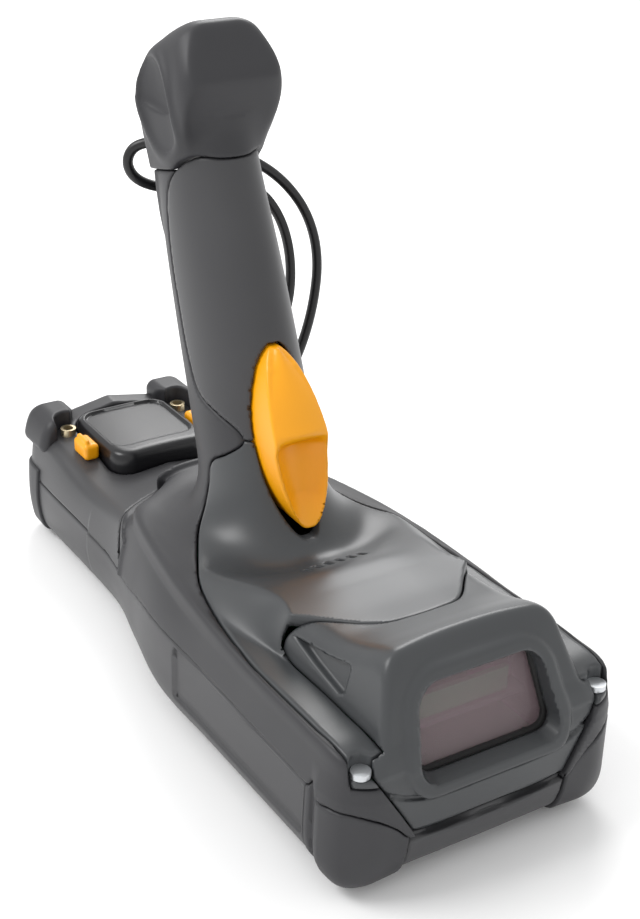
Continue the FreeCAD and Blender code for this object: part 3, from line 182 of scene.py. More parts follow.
# %% Net of quads over a field
def net(field, low, high, cell):
    low = np.asarray(low, float)
    blocks = np.ceil((np.asarray(high, float) - low) / cell / 4).astype(int)
    index = np.stack(np.meshgrid(*[np.arange(k) for k in blocks], indexing="ij"), -1).reshape(-1, 3)
    near = np.abs(field(*(low + (index * 4 + 2) * cell).T)) < 5.2 * cell
    index = index[near] * 4
    size = blocks * 4 + 2
    lattice = np.stack(np.meshgrid(*[np.arange(5)] * 3, indexing="ij"), -1)
    starts, ways, inner = [], [], []
    for chunk in np.array_split(index, max(1, len(index) // 3000)):
        nodes = chunk[:, None, None, None, :] + lattice
        value = field(*np.moveaxis(low + nodes * cell, -1, 0))
        for way in range(3):
            first = [slice(None)] * 4
            second = [slice(None)] * 4
            first[way + 1], second[way + 1] = slice(0, 4), slice(1, 5)
            a, b = value[tuple(first)], value[tuple(second)]
            found = (a < 0) != (b < 0)
            starts.append(nodes[tuple(first)][found])
            ways.append(np.full(found.sum(), way))
            inner.append(np.stack([a[found], b[found]], -1))
    starts, ways, inner = np.concatenate(starts), np.concatenate(ways), np.concatenate(inner)
    key = ((starts[:, 0] * size[1] + starts[:, 1]) * size[2] + starts[:, 2]) * 3 + ways
    key, pick = np.unique(key, return_index=True)
    starts, ways, inner = starts[pick], ways[pick], inner[pick]
    step = np.eye(3)[ways]
    t = inner[:, 0] / (inner[:, 0] - inner[:, 1])
    lows, highs = np.zeros(len(t)), np.ones(len(t))
    f_low, f_high = inner[:, 0].copy(), inner[:, 1].copy()
    for _ in range(2):
        value = field(*(low + (starts + step * t[:, None]) * cell).T)
        same = (value < 0) == (f_low < 0)
        lows, f_low = np.where(same, t, lows), np.where(same, value, f_low)
        highs, f_high = np.where(same, highs, t), np.where(same, f_high, value)
        t = lows + (highs - lows) * f_low / (f_low - f_high + 1e-12)
    place = low + (starts + step * t[:, None]) * cell
    slope = gradient(field, place, cell * 0.08)
    cells, corner = [], []
    for shift_a in (-1, 0):
        for shift_b in (-1, 0):
            moved = starts.copy()
            rows = np.arange(len(moved))
            moved[rows, (ways + 1) % 3] += shift_a
            moved[rows, (ways + 2) % 3] += shift_b
            row = (moved[:, 0] + 1) * (size[1] + 2) + moved[:, 1] + 1
            cells.append(row * (size[2] + 2) + moved[:, 2] + 1)
            corner.append(moved)
    flat = np.stack(cells, 1)
    unique, member = np.unique(flat, return_inverse=True)
    member = member.reshape(flat.shape)
    count = np.zeros(len(unique))
    mass, target = np.zeros((len(unique), 3)), np.zeros((len(unique), 3))
    matrix, cell_low = np.zeros((len(unique), 3, 3)), np.zeros((len(unique), 3))
    pull = (slope * place).sum(1)
    for k in range(4):
        np.add.at(count, member[:, k], 1)
        np.add.at(mass, member[:, k], place)
        np.add.at(matrix, member[:, k], slope[:, :, None] * slope[:, None, :])
        np.add.at(target, member[:, k], slope * pull[:, None])
        cell_low[member[:, k]] = low + corner[k] * cell
    mass /= count[:, None]
    weight = 0.08
    matrix += np.eye(3) * weight
    spot = np.linalg.solve(matrix, (target + mass * weight)[:, :, None])[:, :, 0]
    spot = np.clip(spot, cell_low - 0.05 * cell, cell_low + 1.05 * cell)
    quads = member[:, [0, 1, 3, 2]]
    quads = np.where((inner[:, 0] < 0)[:, None], quads[:, ::-1], quads)
    return spot, quads


def gradient(field, place, step):
    parts = []
    for axis in np.eye(3) * step:
        parts.append(field(*(place + axis).T) - field(*(place - axis).T))
    slope = np.stack(parts, 1)
    return slope / np.maximum(np.linalg.norm(slope, axis=1), 1e-9)[:, None]


def moulding(name, field, low, high, cell):
    """A mesh object over a field given in millimetres, shaded with the field's own slope."""
    cell = cell * 1.0
    spot, quads = net(field, low, high, cell)
    mesh = bpy.data.meshes.new(name)
    mesh.from_pydata((spot * MM).tolist(), [], quads.tolist())
    mesh.update()
    mesh.shade_smooth()
    mesh.normals_split_custom_set_from_vertices(gradient(field, spot, cell * 0.45).tolist())
    piece = bpy.data.objects.new(name.replace(" ", "_"), mesh)
    bpy.context.scene.collection.objects.link(piece)
    print(name, len(quads), "quads")
    return piece

# %% [markdown]
# All shells are cut from one body form, so neighbours meet flush. The lower body is a row of
# straight-sided sections: a narrow floor, an upright flank, a steep shoulder and a flat strip.
# Their widths and heights follow smooth curves from the tail to the nose.

# %% Lower body form
body_places = [-113, -89, -66, -40, -14, 12, 38, 60, 92, 105, 114]
floor_half = [29, 29, 29, 30, 34.5, 38.5, 38.5, 38.5, 38.5, 38.5, 38]
flank_half = [32, 33, 33, 33.8, 39.4, 44.6, 44.6, 44.6, 44.6, 44.6, 44.6]
flank_top = [28, 27, 26.5, 28, 30, 31.5, 31.5, 31.5, 31.5, 31.5, 31.5]
crease_half = [28.5, 28.5, 28.5, 30, 32.4, 35.4, 40.2, 42, 42.8, 42.8, 41.6]
crease_height = [38.5, 37, 34.5, 37.5, 45, 46, 44.6, 44.2, 44.8, 43.6, 37.5]
middle_height = [43, 41, 37, 41.5, 46, 46, 45, 44.6, 44.6, 44, 40]
face_level, low_flank = 3.0, 10.0
nose_face, tail_face = 113.6, -113.0


def slope_cut(u, v, start, end):
    """Distance past a slanted line that runs from start to end, positive on its right."""
    du, dv = end[0] - start[0], end[1] - start[1]
    return ((u - start[0]) * dv - (v - start[1]) * du) / np.sqrt(du * du + dv * dv)


def plan_form(x, y):
    """Rounded outline of the body as seen from above."""
    across = np.abs(y)
    dx = x - nose_face + 1.4 * (across / 32) ** 2 + 12.5
    dy = across - 44.6 + 12.5
    head = np.sqrt(np.maximum(dx, 0) ** 2 + np.maximum(dy, 0) ** 2) + np.minimum(np.maximum(dx, dy), 0) - 12.5
    dx, dy = tail_face - x + 9, across - 33 + 9
    tail = np.sqrt(np.maximum(dx, 0) ** 2 + np.maximum(dy, 0) ** 2) + np.minimum(np.maximum(dx, dy), 0) - 9
    return np.where(x > -20, head, np.where(x < -60, tail, -20.0))


def lower_body(x, y, z):
    across = np.abs(y)
    floor, flank = along(x, body_places, floor_half), along(x, body_places, flank_half)
    shoulder, crease = along(x, body_places, flank_top), along(x, body_places, crease_half)
    ridge, middle = along(x, body_places, crease_height), along(x, body_places, middle_height)
    side = cut(across - flank, slope_cut(across, z, (floor, face_level), (flank, low_flank)), 4.0)
    side = cut(side, slope_cut(across, z, (flank, shoulder), (crease, ridge)), 5.0)
    roof = slope_cut(across, z, (crease, ridge), (crease - 24, middle))
    form = cut(cut(side, roof, 3.0), face_level - z, 3.5)
    nose_under = slope_cut(x, z, (nose_face - 6, face_level), (nose_face, low_flank + 1))
    return cut(cut(form, plan_form(x, y), 3.0), nose_under, 6.0)


# %% [markdown]
# The deck is a height over the plan. It dips where the grip stands, climbs over the vents to a
# crest, and rises gently to the scan hood. A ridge runs along each side of it, and outside the
# ridge it falls to the flat strips.

# %% Deck form
deck_places = [-30, -8, 10, 28, 37.3, 46, 56, 68, 82, 100]
deck_middle = [46, 46, 46, 46.2, 51.4, 55.2, 55.9, 56.7, 58.5, 60]
ridge_places = [-30, -8, 5, 17, 28, 34, 42, 53, 60, 80, 100]
ridge_line = [24, 26, 29, 31.5, 29.8, 28, 26.2, 25.7, 28, 29, 29]
ridge_height = [45.5, 46.8, 47.6, 49, 50.6, 52, 53.8, 55.2, 55.6, 57, 58]
strip_height = [44, 45.2, 45.6, 45.6, 45.4, 45.2, 44.9, 44.4, 44.0, 43.8, 43.4]
fall_line = [39.5, 39.5, 39.5, 39.5, 39.5, 39.5, 38.6, 35.6, 33, 31, 31]


def deck_height(x, across):
    middle = along(x, deck_places, deck_middle)
    ridge, top = along(x, ridge_places, ridge_line), along(x, ridge_places, ridge_height)
    strip = along(x, ridge_places, strip_height)
    valley = np.clip((across - 8) / np.maximum(ridge - 8, 1), 0, 1)
    inner = middle + (top - middle) * valley * valley * (3 - 2 * valley)
    fall = np.clip((across - ridge) / (along(x, ridge_places, fall_line) - ridge), 0, 1)
    return np.where(across < ridge, inner, strip + (top - strip) * (1 - fall) ** 2 * (1 + 2 * fall))


def deck_form(x, y, z):
    across = np.abs(y)
    height = deck_height(x, across)
    return cut((z - height) / 1.25, lower_body(x, y, np.minimum(z, 40.0)), 2.0)


# %% [markdown]
# The pistol grip is a stack of level ellipses on a line that leans back. It melts into the deck
# with a wide fillet.

# %% Grip form
grip_levels = [36, 46, 60, 81, 99, 124, 147, 160]
grip_depth = [26, 24.5, 22.4, 22, 22.5, 21.8, 20, 19.6]
grip_width = [23, 20, 17.6, 16.5, 15.8, 14.8, 13.6, 13.2]
grip_lean, grip_anchor = 0.374, (-27.0, 123.6)


def grip_middle(z):
    return grip_anchor[0] - grip_lean * (z - grip_anchor[1])


def grip_form(x, y, z):
    depth, width = along(z, grip_levels, grip_depth), along(z, grip_levels, grip_width)
    u, v = (x - grip_middle(z)) / depth, y / width
    r = np.sqrt(u * u + v * v) + 1e-6
    side = r * (r - 1) / np.sqrt((u / depth) ** 2 + (v / width) ** 2 + 1e-9)
    return np.maximum(np.minimum(side * 0.94, 60), z - 162)


nose_screw, screw_head, recess_floor = (108.4, 37.2), 3.2, 38.2


def screw_recess(form, x, y, z):
    hole = np.sqrt((x - nose_screw[0]) ** 2 + (np.abs(y) - nose_screw[1]) ** 2) - screw_head
    return cut(form, -np.maximum(hole, recess_floor - z), 0.6)


def upper_body(x, y, z):
    form = join(join(lower_body(x, y, z), deck_form(x, y, z), 1.2), grip_form(x, y, z), 15.0)
    return screw_recess(form, x, y, z)


# %% [markdown]
# The scan hood stands on the deck's front end. Its top climbs from a curved seam to a brow. In
# front of the brow a sloped frame holds the window. A sunk pocket with a sharp front corner lies
# in each flank, and a groove runs under the frame.

# %% Hood form
hood_places = [56, 62, 72, 80, 88, 94, 97.5, 102, 106]
hood_top = [54.6, 56.2, 57.3, 58.6, 61.2, 63.6, 64.6, 64.6, 64]
window_head_z, window_head_half, window_flare = 54.6, 17.9, 0.16
window_middle_z, window_half_height, window_corner = 43.9, 10.9, 5.0


def front_depth(x, z):
    """Distance in front of the slanted plane that the window's frame lies in."""
    return slope_cut(x, z, (114.6, 29.5), (103.6, 57.4))


def window_shape(y, z, grow):
    """Rounded trapezium of the window as seen from the front."""
    half = window_head_half + (window_head_z - z) * window_flare
    dy = np.abs(y) - half + window_corner
    dz = np.abs(z - window_middle_z) - window_half_height + window_corner
    rim = np.sqrt(np.maximum(dy, 0) ** 2 + np.maximum(dz, 0) ** 2) + np.minimum(np.maximum(dy, dz), 0)
    return rim - window_corner - grow


def hood_form(x, y, z):
    across = np.abs(y)
    top = along(x, hood_places, hood_top) - 1.3 * (across / 24) ** 3
    roof = (z - top) / 1.05
    flank = slope_cut(across, z, (30.8, 45), (25.6, 63))
    reach = 0.0055 * across ** 2
    brow = slope_cut(x, z, (103.2 + reach, 57.4), (97.2 + reach, 65))
    form = cut(cut(roof, flank, 5.0), brow, 2.2)
    form = cut(form, front_depth(x, z) + 0.5, 2.5)
    pocket = hood_pocket(x, z)
    sunk = slope_cut(across, z, (28.6, 45), (22.6, 63))
    form = cut(form, -cut(pocket, -sunk, 1.0), 0.8)
    lip = cut(np.abs(window_shape(y, z, 2.3)) - 2.3, front_depth(x, z) - 0.6, 1.4)
    lip = np.maximum(lip, 96 - x)
    base = cut(lower_body(x, y, z), front_depth(x, z) + 0.5, 2.0)
    return screw_recess(join(join(np.maximum(form, 38 - z), base, 2.0), lip, 1.5), x, y, z)


hood_pocket_outline = [
    (63, 50.6), (78, 52.9), (87.5, 55.2), (88.3, 54.4), (88.6, 48.2), (86.5, 47.0), (74, 48.6),
]


# %% [markdown]
# Each shell is a region of the whole form. The regions are bounded by the parting lines: the wavy
# seam that runs round the body, the seam up the grip's side with its wedge behind the trigger, the
# deck's rounded outline, and the arc where the hood starts. Half the seam gap is taken from each
# neighbour, and a small soft edge catches the light along every seam. A plan or side outline is
# worked out once on a fine grid, because the net asks for it a million times.

# %% Parting lines
seam_gap = 0.4
seam_edge = 0.8
wall = 2.6


def chart(outline, smooth=4, step=0.4, margin=10):
    corners = np.asarray(outline, float)
    low, high = corners.min(0) - margin, corners.max(0) + margin
    u, v = np.arange(low[0], high[0] + step, step), np.arange(low[1], high[1] + step, step)
    grid = inside_outline(*np.meshgrid(u, v, indexing="ij"), outline, smooth)

    def read(a, b):
        s = np.clip((a - low[0]) / step, 0, len(u) - 1.001)
        t = np.clip((b - low[1]) / step, 0, len(v) - 1.001)
        i, j = s.astype(int), t.astype(int)
        s, t = s - i, t - j
        return ((grid[i, j] * (1 - s) + grid[i + 1, j] * s) * (1 - t)
                + (grid[i, j + 1] * (1 - s) + grid[i + 1, j + 1] * s) * t)
    return read


def mirrored(outline):
    return outline + [(a, -b) for a, b in reversed(outline) if b > 0]


def mirrored_across(outline):
    """The same for an outline whose first coordinate is the one to mirror."""
    return [(b, a) for a, b in mirrored([(b, a) for a, b in outline])]


hood_pocket = chart(hood_pocket_outline, smooth=1)
spine_side = chart([
    (-60, 40), (-60, 170), (-15.0, 170), (-17, 154.5), (-24, 153.4), (-29.6, 149.8), (-33.8, 143.6),
    (-34.4, 135.6),
    (-31.1, 121.7), (-25.5, 108.3), (-20.4, 97.7), (-13.5, 88.0), (-4.4, 84.3), (2.8, 81.1), (5.3, 77.4),
    (1.3, 73.1), (-3.6, 69.6), (-5.0, 65), (-4.6, 56.5), (-3.4, 50), (-1.5, 46), (1, 38),
])
deck_plan = chart(mirrored([
    (-8, 0), (-6, 14), (-3, 20), (1, 24), (8, 28), (14, 31.2), (22, 35), (32, 37.2), (45, 39),
    (60.5, 40.3), (81, 40.9), (98, 40.7), (105, 40.2), (110.5, 39.4), (113.5, 34), (114, 24), (114, 0),
]))
hood_plan = chart(mirrored([
    (80.6, 0), (80.5, 4), (80.2, 8), (78.9, 12), (75.4, 16), (70.6, 20), (65.9, 24), (62.6, 27), (59.6, 30.2),
    (64, 31.0), (80, 31.0), (98, 31.0), (104, 31.0), (125, 31.0), (125, 0),
]))


def seam_height(x, y):
    """Height of the wavy seam between the lower tray and the upper mouldings."""
    across = np.abs(y)
    rise = np.clip((x + 38) / 50, 0, 1)
    flank = 22.5 + 8.0 * rise * rise * (3 - 2 * rise) - 1.8 * np.clip((x - 30) / 60, 0, 1)
    nose = along(across, [0, 23, 25.4, 28.4, 33.3, 38, 41, 45],
                 [18.0, 18.0, 18.6, 21.8, 25.7, 28.0, 28.8, 29.2])
    wave = 3.0 * np.exp(-((x - 96.5) / 1.6) ** 2) - 0.8 * np.exp(-((x - 100.5) / 2.2) ** 2)
    share = np.clip((x - 101) / 6, 0, 1)
    return flank + wave + share * (np.minimum(flank, nose) - flank)


def chin_side(x, y, z):
    """The chin's region on the nose face, between the slanted edges of the corner lobes."""
    return np.maximum(np.abs(y) - 24.6 - 0.6 * (z - 20.8), 107.6 - x)


def tail_side(x, y):
    """Arched edge of the middle body over the tail; negative on the tail's side."""
    across = np.minimum(np.abs(y), 34.2)
    return (x + 28.5 + 19.5 * np.sqrt(np.maximum(1 - (across / 34.5) ** 2, 0))) * 0.8


def cap_line(x, z):
    """Positive above the butt cap's slanted lower edge."""
    return -slope_cut(x, z, (-60, 141), (-20, 151))


# %% [markdown]
# Every shell below is one region of the form. The seams come from the regions, and what is cut or
# raised on a shell is added to its own function: the flank's inset, the vents, the screw wells.

# %% Shell regions
def shell(form, region, depth=wall):
    """A region of a form, hollowed out so that it has a real wall."""
    skin = cut(form, region + seam_gap / 2, seam_edge)
    return np.maximum(skin, -(form + depth))


def corner_region(x, y):
    return np.maximum(93.0 - x, 24.8 - np.abs(y))


def hood_region(x, y, z):
    return np.maximum(np.minimum(hood_plan(x, y) + np.maximum(44.0 - z, 0), chin_side(x, y, z)), x - 130)


def deck_region(x, y, z):
    spine = np.where(z > 50, -spine_side(x, z), -200.0)
    return np.maximum(np.maximum(deck_plan(x, y), spine), np.maximum(36 - z, z - 78.5))


def panel_region(x, z):
    return np.maximum(np.maximum(-spine_side(x, z), 78.5 - z), z - 158)


def display_field(x, y, z):
    form = lower_body(x, y, z)
    inset = cut_all(1.2, 22.5 - x, x - 91.6, 12.0 - z, z - seam_height(x, y) + 1.6)
    form = cut(form, -np.maximum(inset, -(form + 0.9)), 0.8)
    opening = np.minimum(block(x, y, z, (25.9, -30.1, -5), (100.1, 30.1, 8), 4),
                         block(x, y, z, (-94.1, -24.6, -5), (16.1, 24.6, 8), 5))
    recess = np.maximum(np.maximum(15.9 + 0.00006 * np.abs(y) ** 3 - z, -(form + 1.6)), 108 - x)
    region = np.maximum(z - seam_height(x, y), -corner_region(x, y))
    field = shell(cut(form, -recess, 0.6), region)
    return np.maximum(field, -opening)


def nose_bumper_field(x, y, z):
    across = np.abs(y)
    hump = np.exp(-((across - 36) / 8) ** 2 * np.clip((x - 108) / 4, 0, 1))
    swell = 1.1 * hump * np.clip((x - 96) / 5, 0, 1)
    form = lower_body(x, y, z) - 0.3 - swell
    waist = np.abs(x - 97.2) - 1.2
    form = cut(form, -np.maximum(waist, -(form + 0.7)), 1.2)
    return shell(form, np.maximum(z - seam_height(x, y), corner_region(x, y)), 3.2)


def lobe_form(x, y, z):
    """The soft corner above the nose bumper stands a little proud of the shoulder."""
    form = upper_body(x, y, z)
    proud = np.clip((x - 96) / 3, 0, 1) * np.clip((38 - z) / 6, 0, 1)
    return form - 0.9 * proud


def rear_field(x, y, z):
    form = lobe_form(x, y, z)
    others = np.minimum(np.minimum(deck_region(x, y, z), panel_region(x, z)), hood_region(x, y, z))
    region = np.maximum(np.maximum(seam_height(x, y) - z, -others), -tail_side(x, y))
    lip = 0.8 * np.exp(-((tail_side(x, y) - 1.6) / 1.1) ** 2)
    return shell(form - lip, np.maximum(region, cap_line(x, z)))


def deck_field(x, y, z):
    form = upper_body(x, y, z)
    vents = [block(x, y, z, (34.8, (k - 2.5) * 3.7 - 0.65, 40), (39.4, (k - 2.5) * 3.7 + 0.65, 60), 0.6)
             for k in range(6)]
    field = shell(form, np.maximum(deck_region(x, y, z), -hood_region(x, y, z)))
    field = cut(field, -np.minimum.reduce(vents), 0.4)
    return cut(field, -trigger_slot(x, y, z), 0.8)


trigger_outline = [
    (0.0, 52.8), (2.6, 53.4), (5.2, 57.2), (7.3, 63.0), (8.7, 70.4), (9.2, 81.4), (8.1, 91.2), (5.7, 99.8),
    (2.4, 104.7), (0.0, 105.1),
]
trigger_gap = chart(mirrored_across(trigger_outline), smooth=3)
slot_rear, slot_front = -8.0, 34


def trigger_slot(x, y, z):
    return np.maximum(trigger_gap(y, z), np.maximum(slot_rear - x, x - slot_front))


def panel_field(x, y, z):
    return cut(shell(upper_body(x, y, z), panel_region(x, z)), -trigger_slot(x, y, z), 0.8)


def hood_field(x, y, z):
    form = hood_form(x, y, z)
    recess = np.maximum(np.maximum(z - 19.9, -(form + 1.6)), 100 - x)
    rise = 0.02 * np.maximum(np.abs(y) - 17, 0) ** 2
    groove = np.maximum(np.maximum(np.abs(z - 28.6 - rise) - 0.7, -(form + 0.9)), 108 - x)
    form = cut(cut(form, -recess, 0.5), -groove, 0.7)
    region = np.maximum(hood_region(x, y, z), seam_height(x, y) - z)
    hole = window_shape(y, z, 0.3 * np.clip(front_depth(x, z) + 3.5, 0, 4))
    field = np.maximum(shell(form, region, 3.2), -np.maximum(hole, 92 - x))
    return field


def tail_field(x, y, z):
    form = lower_body(x, y, z)
    well = block(x, y, z, (-105.5, -18, 22), (-65.5, 18, 60), 8)
    field = shell(form, np.maximum(seam_height(x, y) - z, tail_side(x, y)), 4.0)
    return cut(field, -well, 0.8)

# %% [markdown]
# The butt cap is a soft rubber knob. Its side view is one smooth outline, and a slanted front face
# meets a receding one at a level edge. A shallow oval thumb dimple with a raised rim lies in each
# flank. The cap's lower edge slants down to the rear, like the arch of the front panel.

# %% Butt cap
butt_side = chart([
    (-30, 142), (-26.6, 150), (-22.0, 158), (-18.8, 166), (-17.6, 175), (-19.6, 181.5), (-25.6, 188.4),
    (-30, 189.4), (-35, 187.8), (-41, 184), (-47, 178), (-51.2, 170), (-52.8, 162), (-53.2, 154),
    (-52, 147), (-49, 141), (-40, 139),
])
cord_place = (-56.6, 6.5, 149.0)


def dimple_ring(x, z):
    """Distance to the thumb dimple's oval edge, in shares of its size."""
    u, v = (x + 37.5) * 0.93 + (z - 165.5) * 0.36, (z - 165.5) * 0.93 - (x + 37.5) * 0.36
    return np.sqrt((u / 9.8) ** 2 + (v / 13.4) ** 2)


def butt_field(x, y, z):
    half = along(z, [136, 148, 156, 164, 172, 180, 189], [11.5, 12.6, 14.0, 15.8, 16.2, 14.8, 11.4])
    ring = dimple_ring(x, z)
    hollow = 3.4 * np.clip(1 - ring ** 2, 0, 1) ** 0.7 - 0.9 * np.exp(-((ring - 1.14) / 0.14) ** 2)
    form = cut(np.abs(y) - half - 0.01 * (x + 36) + hollow, butt_side(x, z), 7.0)
    form = cut(form, slope_cut(x, z, (-17.4, 175.4), (-27.5, 191.0)), 1.2)
    form = cut(form, slope_cut(x, z, (-24.6, 155), (-17.4, 175.4)), 1.2)
    form = join(form, grip_form(x, y, z), 5.0)
    skin = cut(form, np.maximum(-cap_line(x, z), -panel_region(x, z)) + seam_gap / 2, seam_edge)
    hole = np.sqrt((np.abs(y) - cord_place[1]) ** 2 + (z - cord_place[2]) ** 2) - 2.0
    return np.maximum(np.maximum(skin, -(form + 3.0)), -np.maximum(hole, x + 50))


# %% [markdown]
# The trigger is a leaf. Above the level ridge its face is a convex pad that leans back. Below the
# ridge a finger hollow runs down between two thin rims.

# %% Trigger
leaf_outline = [(0.0, 56.2), (2.4, 56.8), (4.8, 60.4), (6.8, 65.4), (8.2, 71.6), (8.8, 81), (7.7, 90.8),
                (5.3, 99.2), (2.2, 103.8), (0.0, 104.3)]
trigger_leaf = chart(mirrored_across(leaf_outline), smooth=3)
trigger_levels = [55, 58, 64, 72, 78, 81.4, 83.4, 86, 92, 100, 105]
trigger_front = [24.8, 24.4, 22.8, 20.2, 18.9, 19.0, 18.3, 16.8, 13.2, 7.4, 3.0]
trigger_pin, trigger_half = (-3.0, 97.5), [2.0, 5.0, 7.0, 8.2, 8.8, 7.6, 2.0]


def trigger_field(x, y, z):
    across = np.abs(y)
    half = along(z, [55, 60, 66, 72, 82, 92, 104], trigger_half)
    bowl = np.clip(1 - (across / np.maximum(half - 0.9, 1)) ** 2, 0, 1)
    hollow = 4.6 * np.clip((82.0 - z) / 3, 0, 1) * np.clip((z - 56.6) / 8, 0, 1) * bowl ** 0.8
    crown = 1.5 * np.clip((z - 80.6) / 3, 0, 1) * bowl
    face = along(z, trigger_levels, trigger_front) - hollow + crown
    front = (x - face) / 1.15
    leaf = cut(cut(trigger_leaf(y, z), front, 0.9), face - 14.0 - x, 0.6)
    leaf = np.maximum(leaf, -np.maximum(trigger_leaf(y, z) + 1.7, front + 2.4))
    round_pin = np.sqrt((x - trigger_pin[0]) ** 2 + (z - trigger_pin[1]) ** 2)
    hub = cut(round_pin - 3.4, across - 5.5, 0.6)
    web = block(x, y, z, (-3, -4.4, 94.2), (8, 4.4, 99.8), 1.0)
    return np.maximum(join(leaf, np.minimum(hub, web), 1.2), 1.6 - round_pin)


# %% [markdown]
# The battery is a black case with a raised frame that is thickest at the near end. Inside the frame lies a
# shallow field, where the real pack carries its label. The tail's rubber ears are hooks with a round well for
# the inserts.

# %% Battery and rubber tail corners
def battery_field(x, y, z):
    body = block(x, y, z, (-105, -17.6, 24), (-66, 17.6, 46), 7.5)
    crown = z - 43.4 + 0.0016 * y ** 2
    form = cut(body, crown, 1.6)
    field = np.maximum(block(x, y, z, (-102, -14.6, 30), (-73.4, 14.6, 60), 5.0), 42.3 - 0.0016 * y ** 2 - z)
    return cut(form, -field, 0.7)


def ear_field(x, y, z):
    across = np.abs(y)
    crest = block(x, across, z, (-114.6, 15.5, 33), (-97, 31.4, 45.4), 3.4)
    form = cut(crest, slope_cut(across, z, (33.0, 36), (25.5, 47.5)), 3.0)
    well = np.sqrt((x + 98.5) ** 2 + (across - 20.8) ** 2) - 4.6
    notch = block(x, across, z, (-107.0, -1, 30), (-65, 18.2, 60), 6)
    return cut(cut(form, -well, 1.0), -notch, 1.0)


def tail_bumper_field(x, y, z):
    form = lower_body(x, y, z) - 0.9
    return shell(form, np.maximum(np.maximum(x + 100, 16.2 - np.abs(y)), z - 27.0), 3.2)


def latch_field(x, y, z):
    across = np.abs(y)
    tab = block(x, across, z, (-88.9, 18.1, 37.1), (-79.1, 23.4, 42.6), 1.4)
    rib = block(x, across, z, (-87.6, 21.0, 41), (-80.4, 22.6, 44.0), 0.7)
    return join(tab, rib, 0.8)

# %% [markdown]
# Each row below names a piece, its field, the box the net is laid in, the size of a net cell, the
# CAD nodes it stands for, and the body it rides on. All lengths are in millimetres.

# %% Nets
plan = [
    ("display_shell", display_field, (-117, -47, 0), (117, 47, 35), 1.0,
     ["display_housing"], "housing"),
    ("nose_bumpers", nose_bumper_field, (90, -48, 0), (119, 48, 36), 0.8,
     ["nose_bumper_left", "nose_bumper_right"], "housing"),
    ("rear_shell", rear_field, (-60, -48, 14), (117, 48, 165), 0.9,
     ["rear_housing"], "housing"),
    ("deck_shell", deck_field, (-20, -46, 34), (116, 46, 84), 0.8,
     ["deck_cover"], "housing"),
    ("grip_panel", panel_field, (-46, -24, 74), (30, 24, 160), 0.9,
     ["grip_front_panel"], "housing"),
    ("hood_shell", hood_field, (54, -40, 12), (120, 40, 70), 0.7,
     ["scan_hood"], "housing"),
    ("tail_shell", tail_field, (-117, -38, 18), (-20, 38, 48), 0.9,
     ["tail_housing"], "housing"),
    ("butt_knob", butt_field, (-66, -20, 136), (-12, 20, 193), 0.8,
     ["butt_cap"], "housing"),
    ("trigger_blade", trigger_field, (-10, -12, 52), (30, 12, 108), 0.6,
     ["trigger"], "trigger_body"),
    ("battery_case", battery_field, (-108, -20, 22), (-63, 20, 46), 0.7,
     ["battery_pack"], "battery"),
    ("tail_ears", ear_field, (-118, -36, 30), (-94, 36, 48), 0.7,
     ["tail_ear_left", "tail_ear_right"], "housing"),
    ("tail_bumpers", tail_bumper_field, (-118, -38, 0), (-97, 38, 30), 0.8,
     ["tail_bumper_left", "tail_bumper_right"], "housing"),
    ("latch_left_tab", latch_field, (-91, -26, 35), (-77, -16, 46), 0.45,
     ["battery_latch_left"], "latch_left"),
    ("latch_right_tab", latch_field, (-91, 16, 35), (-77, 26, 46), 0.45,
     ["battery_latch_right"], "latch_right"),
]
pieces = {}
for name, field, low, high, cell, nodes, body in plan:
    pieces[name] = moulding(name, field, low, high, cell)
    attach(pieces[name], body)
    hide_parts(*nodes)

# %% [markdown]
# Each finish is a small node tree made by one function. The base colour is given as it is read off
# a screen, and turned into light by one formula.

# %% Materials
def light_of(hex_colour):
    parts = [int(hex_colour[i:i + 2], 16) / 255 for i in (1, 3, 5)]
    return [c / 12.92 if c <= 0.04045 else ((c + 0.055) / 1.055) ** 2.4 for c in parts] + [1.0]


def node(tree, kind, **values):
    made = tree.nodes.new(kind)
    for key, value in values.items():
        if key in made.inputs:
            made.inputs[key].default_value = value
        else:
            setattr(made, key, value)
    return made


def plastic(name, colour, gloss, grain_mm=0.5, grain=0.05, mottle=0.15):
    material = bpy.data.materials.new(name)
    material.use_nodes = True
    tree = material.node_tree
    surface = tree.nodes["Principled BSDF"]
    place = node(tree, "ShaderNodeTexCoord")
    fine = node(tree, "ShaderNodeTexNoise", **{"Scale": 1000 / grain_mm, "Detail": 2.0})
    broad = node(tree, "ShaderNodeTexNoise", **{"Scale": 35.0, "Detail": 4.0})
    tint = node(tree, "ShaderNodeMix", data_type="RGBA")
    base = light_of(colour)
    tint.inputs["A"].default_value = [c * (1 - mottle) for c in base[:3]] + [1]
    tint.inputs["B"].default_value = [c * (1 + mottle) for c in base[:3]] + [1]
    rough = node(tree, "ShaderNodeMapRange", **{"To Min": gloss - 0.06, "To Max": gloss + 0.06})
    bump = node(tree, "ShaderNodeBump", **{"Strength": grain, "Distance": 0.0002})
    link = tree.links.new
    link(place.outputs["Object"], fine.inputs["Vector"])
    link(place.outputs["Object"], broad.inputs["Vector"])
    link(broad.outputs["Fac"], tint.inputs["Factor"])
    link(tint.outputs["Result"], surface.inputs["Base Color"])
    link(broad.outputs["Fac"], rough.inputs["Value"])
    link(rough.outputs["Result"], surface.inputs["Roughness"])
    link(fine.outputs["Fac"], bump.inputs["Height"])
    link(bump.outputs["Normal"], surface.inputs["Normal"])
    return material


def finish_piece(piece, material):
    piece.data.materials.clear()
    piece.data.materials.append(material)


# Shell plastic is satin: its grain spreads the highlight. Rubber is duller, the deck a bit glossier.
shell_abs = plastic("charcoal ABS", "#3a3a3c", 0.42)
soft_rubber = plastic("black thermoplastic rubber", "#2c2c2f", 0.5, mottle=0.2)
deck_abs = plastic("deck ABS", "#3c3e40", 0.36)
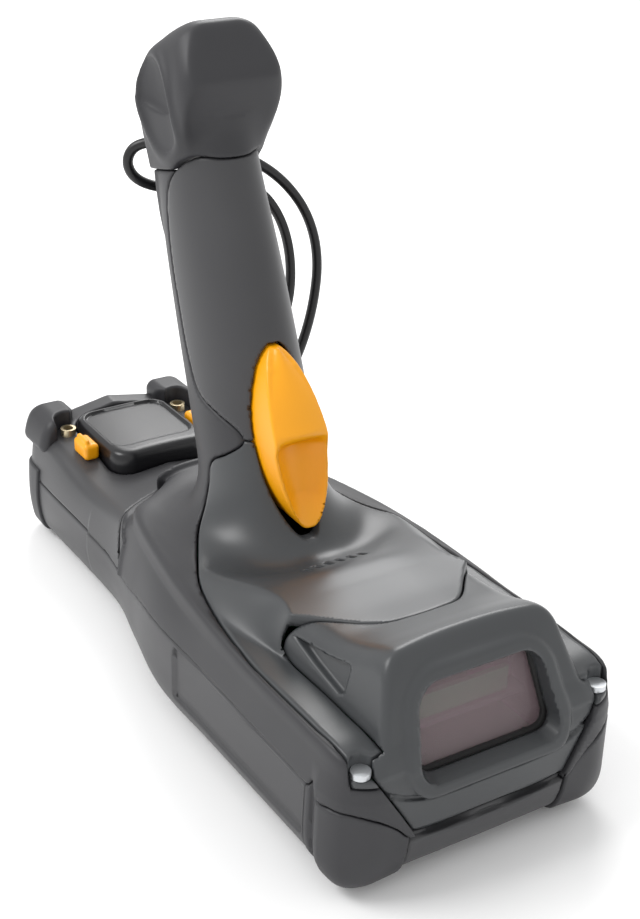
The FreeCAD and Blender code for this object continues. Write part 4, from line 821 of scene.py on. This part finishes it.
# Acetal is even in colour and catches a clear highlight, and so do the battery case and the cord.
yellow = plastic("yellow acetal", "#f5a400", 0.35, mottle=0.05)
battery_black = plastic("battery ABS", "#131316", 0.3)
cord_black = plastic("cord PVC", "#101012", 0.35)
for name in ("display_shell", "tail_shell", "grip_panel"):
    finish_piece(pieces[name], shell_abs)
for name in ("rear_shell", "nose_bumpers", "butt_knob", "tail_ears", "tail_bumpers"):
    finish_piece(pieces[name], soft_rubber)
for name in ("deck_shell", "hood_shell"):
    finish_piece(pieces[name], deck_abs)
for name in ("trigger_blade", "latch_left_tab", "latch_right_tab"):
    finish_piece(pieces[name], yellow)
finish_piece(pieces["battery_case"], battery_black)
finish_piece(tether, cord_black)
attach(tether, "housing")
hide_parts("tether_cord")


# %% [markdown]
# The stage is a white table in a white room. Two soft lights, one in front and one behind, give the dark
# plastic its highlights.

# %% Stage
floor_mesh = bpy.data.meshes.new("table")
floor_mesh.from_pydata([(-3, -3, 0), (3, -3, 0), (3, 3, 0), (-3, 3, 0)], [], [(0, 1, 2, 3)])
table = bpy.data.objects.new("table", floor_mesh)
bpy.context.scene.collection.objects.link(table)
white = bpy.data.materials.new("white paper")
white.use_nodes = True
white.node_tree.nodes["Principled BSDF"].inputs["Base Color"].default_value = (1, 1, 1, 1)
white.node_tree.nodes["Principled BSDF"].inputs["Roughness"].default_value = 0.9
floor_mesh.materials.append(white)
world = bpy.data.worlds.new("white room")
bpy.context.scene.world = world
world.use_nodes = True
world.node_tree.nodes["Background"].inputs[0].default_value = (1, 1, 1, 1)
world.node_tree.nodes["Background"].inputs[1].default_value = 0.9


def softbox(name, place, target, size, watts):
    lamp = bpy.data.lights.new(name, "AREA")
    lamp.shape, lamp.size, lamp.size_y, lamp.energy = "RECTANGLE", size[0], size[1], watts
    made = bpy.data.objects.new(name, lamp)
    bpy.context.scene.collection.objects.link(made)
    made.location = place
    made.rotation_euler = (Vector(place) - Vector(target)).to_track_quat("Z", "Y").to_euler()


softbox("key light", (-0.3, -0.7, 0.9), (0, 0, 0.05), (0.6, 0.4), 6)
softbox("rear light", (-0.7, 0.5, 0.7), (0, 0, 0.05), (0.5, 0.5), 5)
bpy.context.scene.view_settings.view_transform = "Standard"
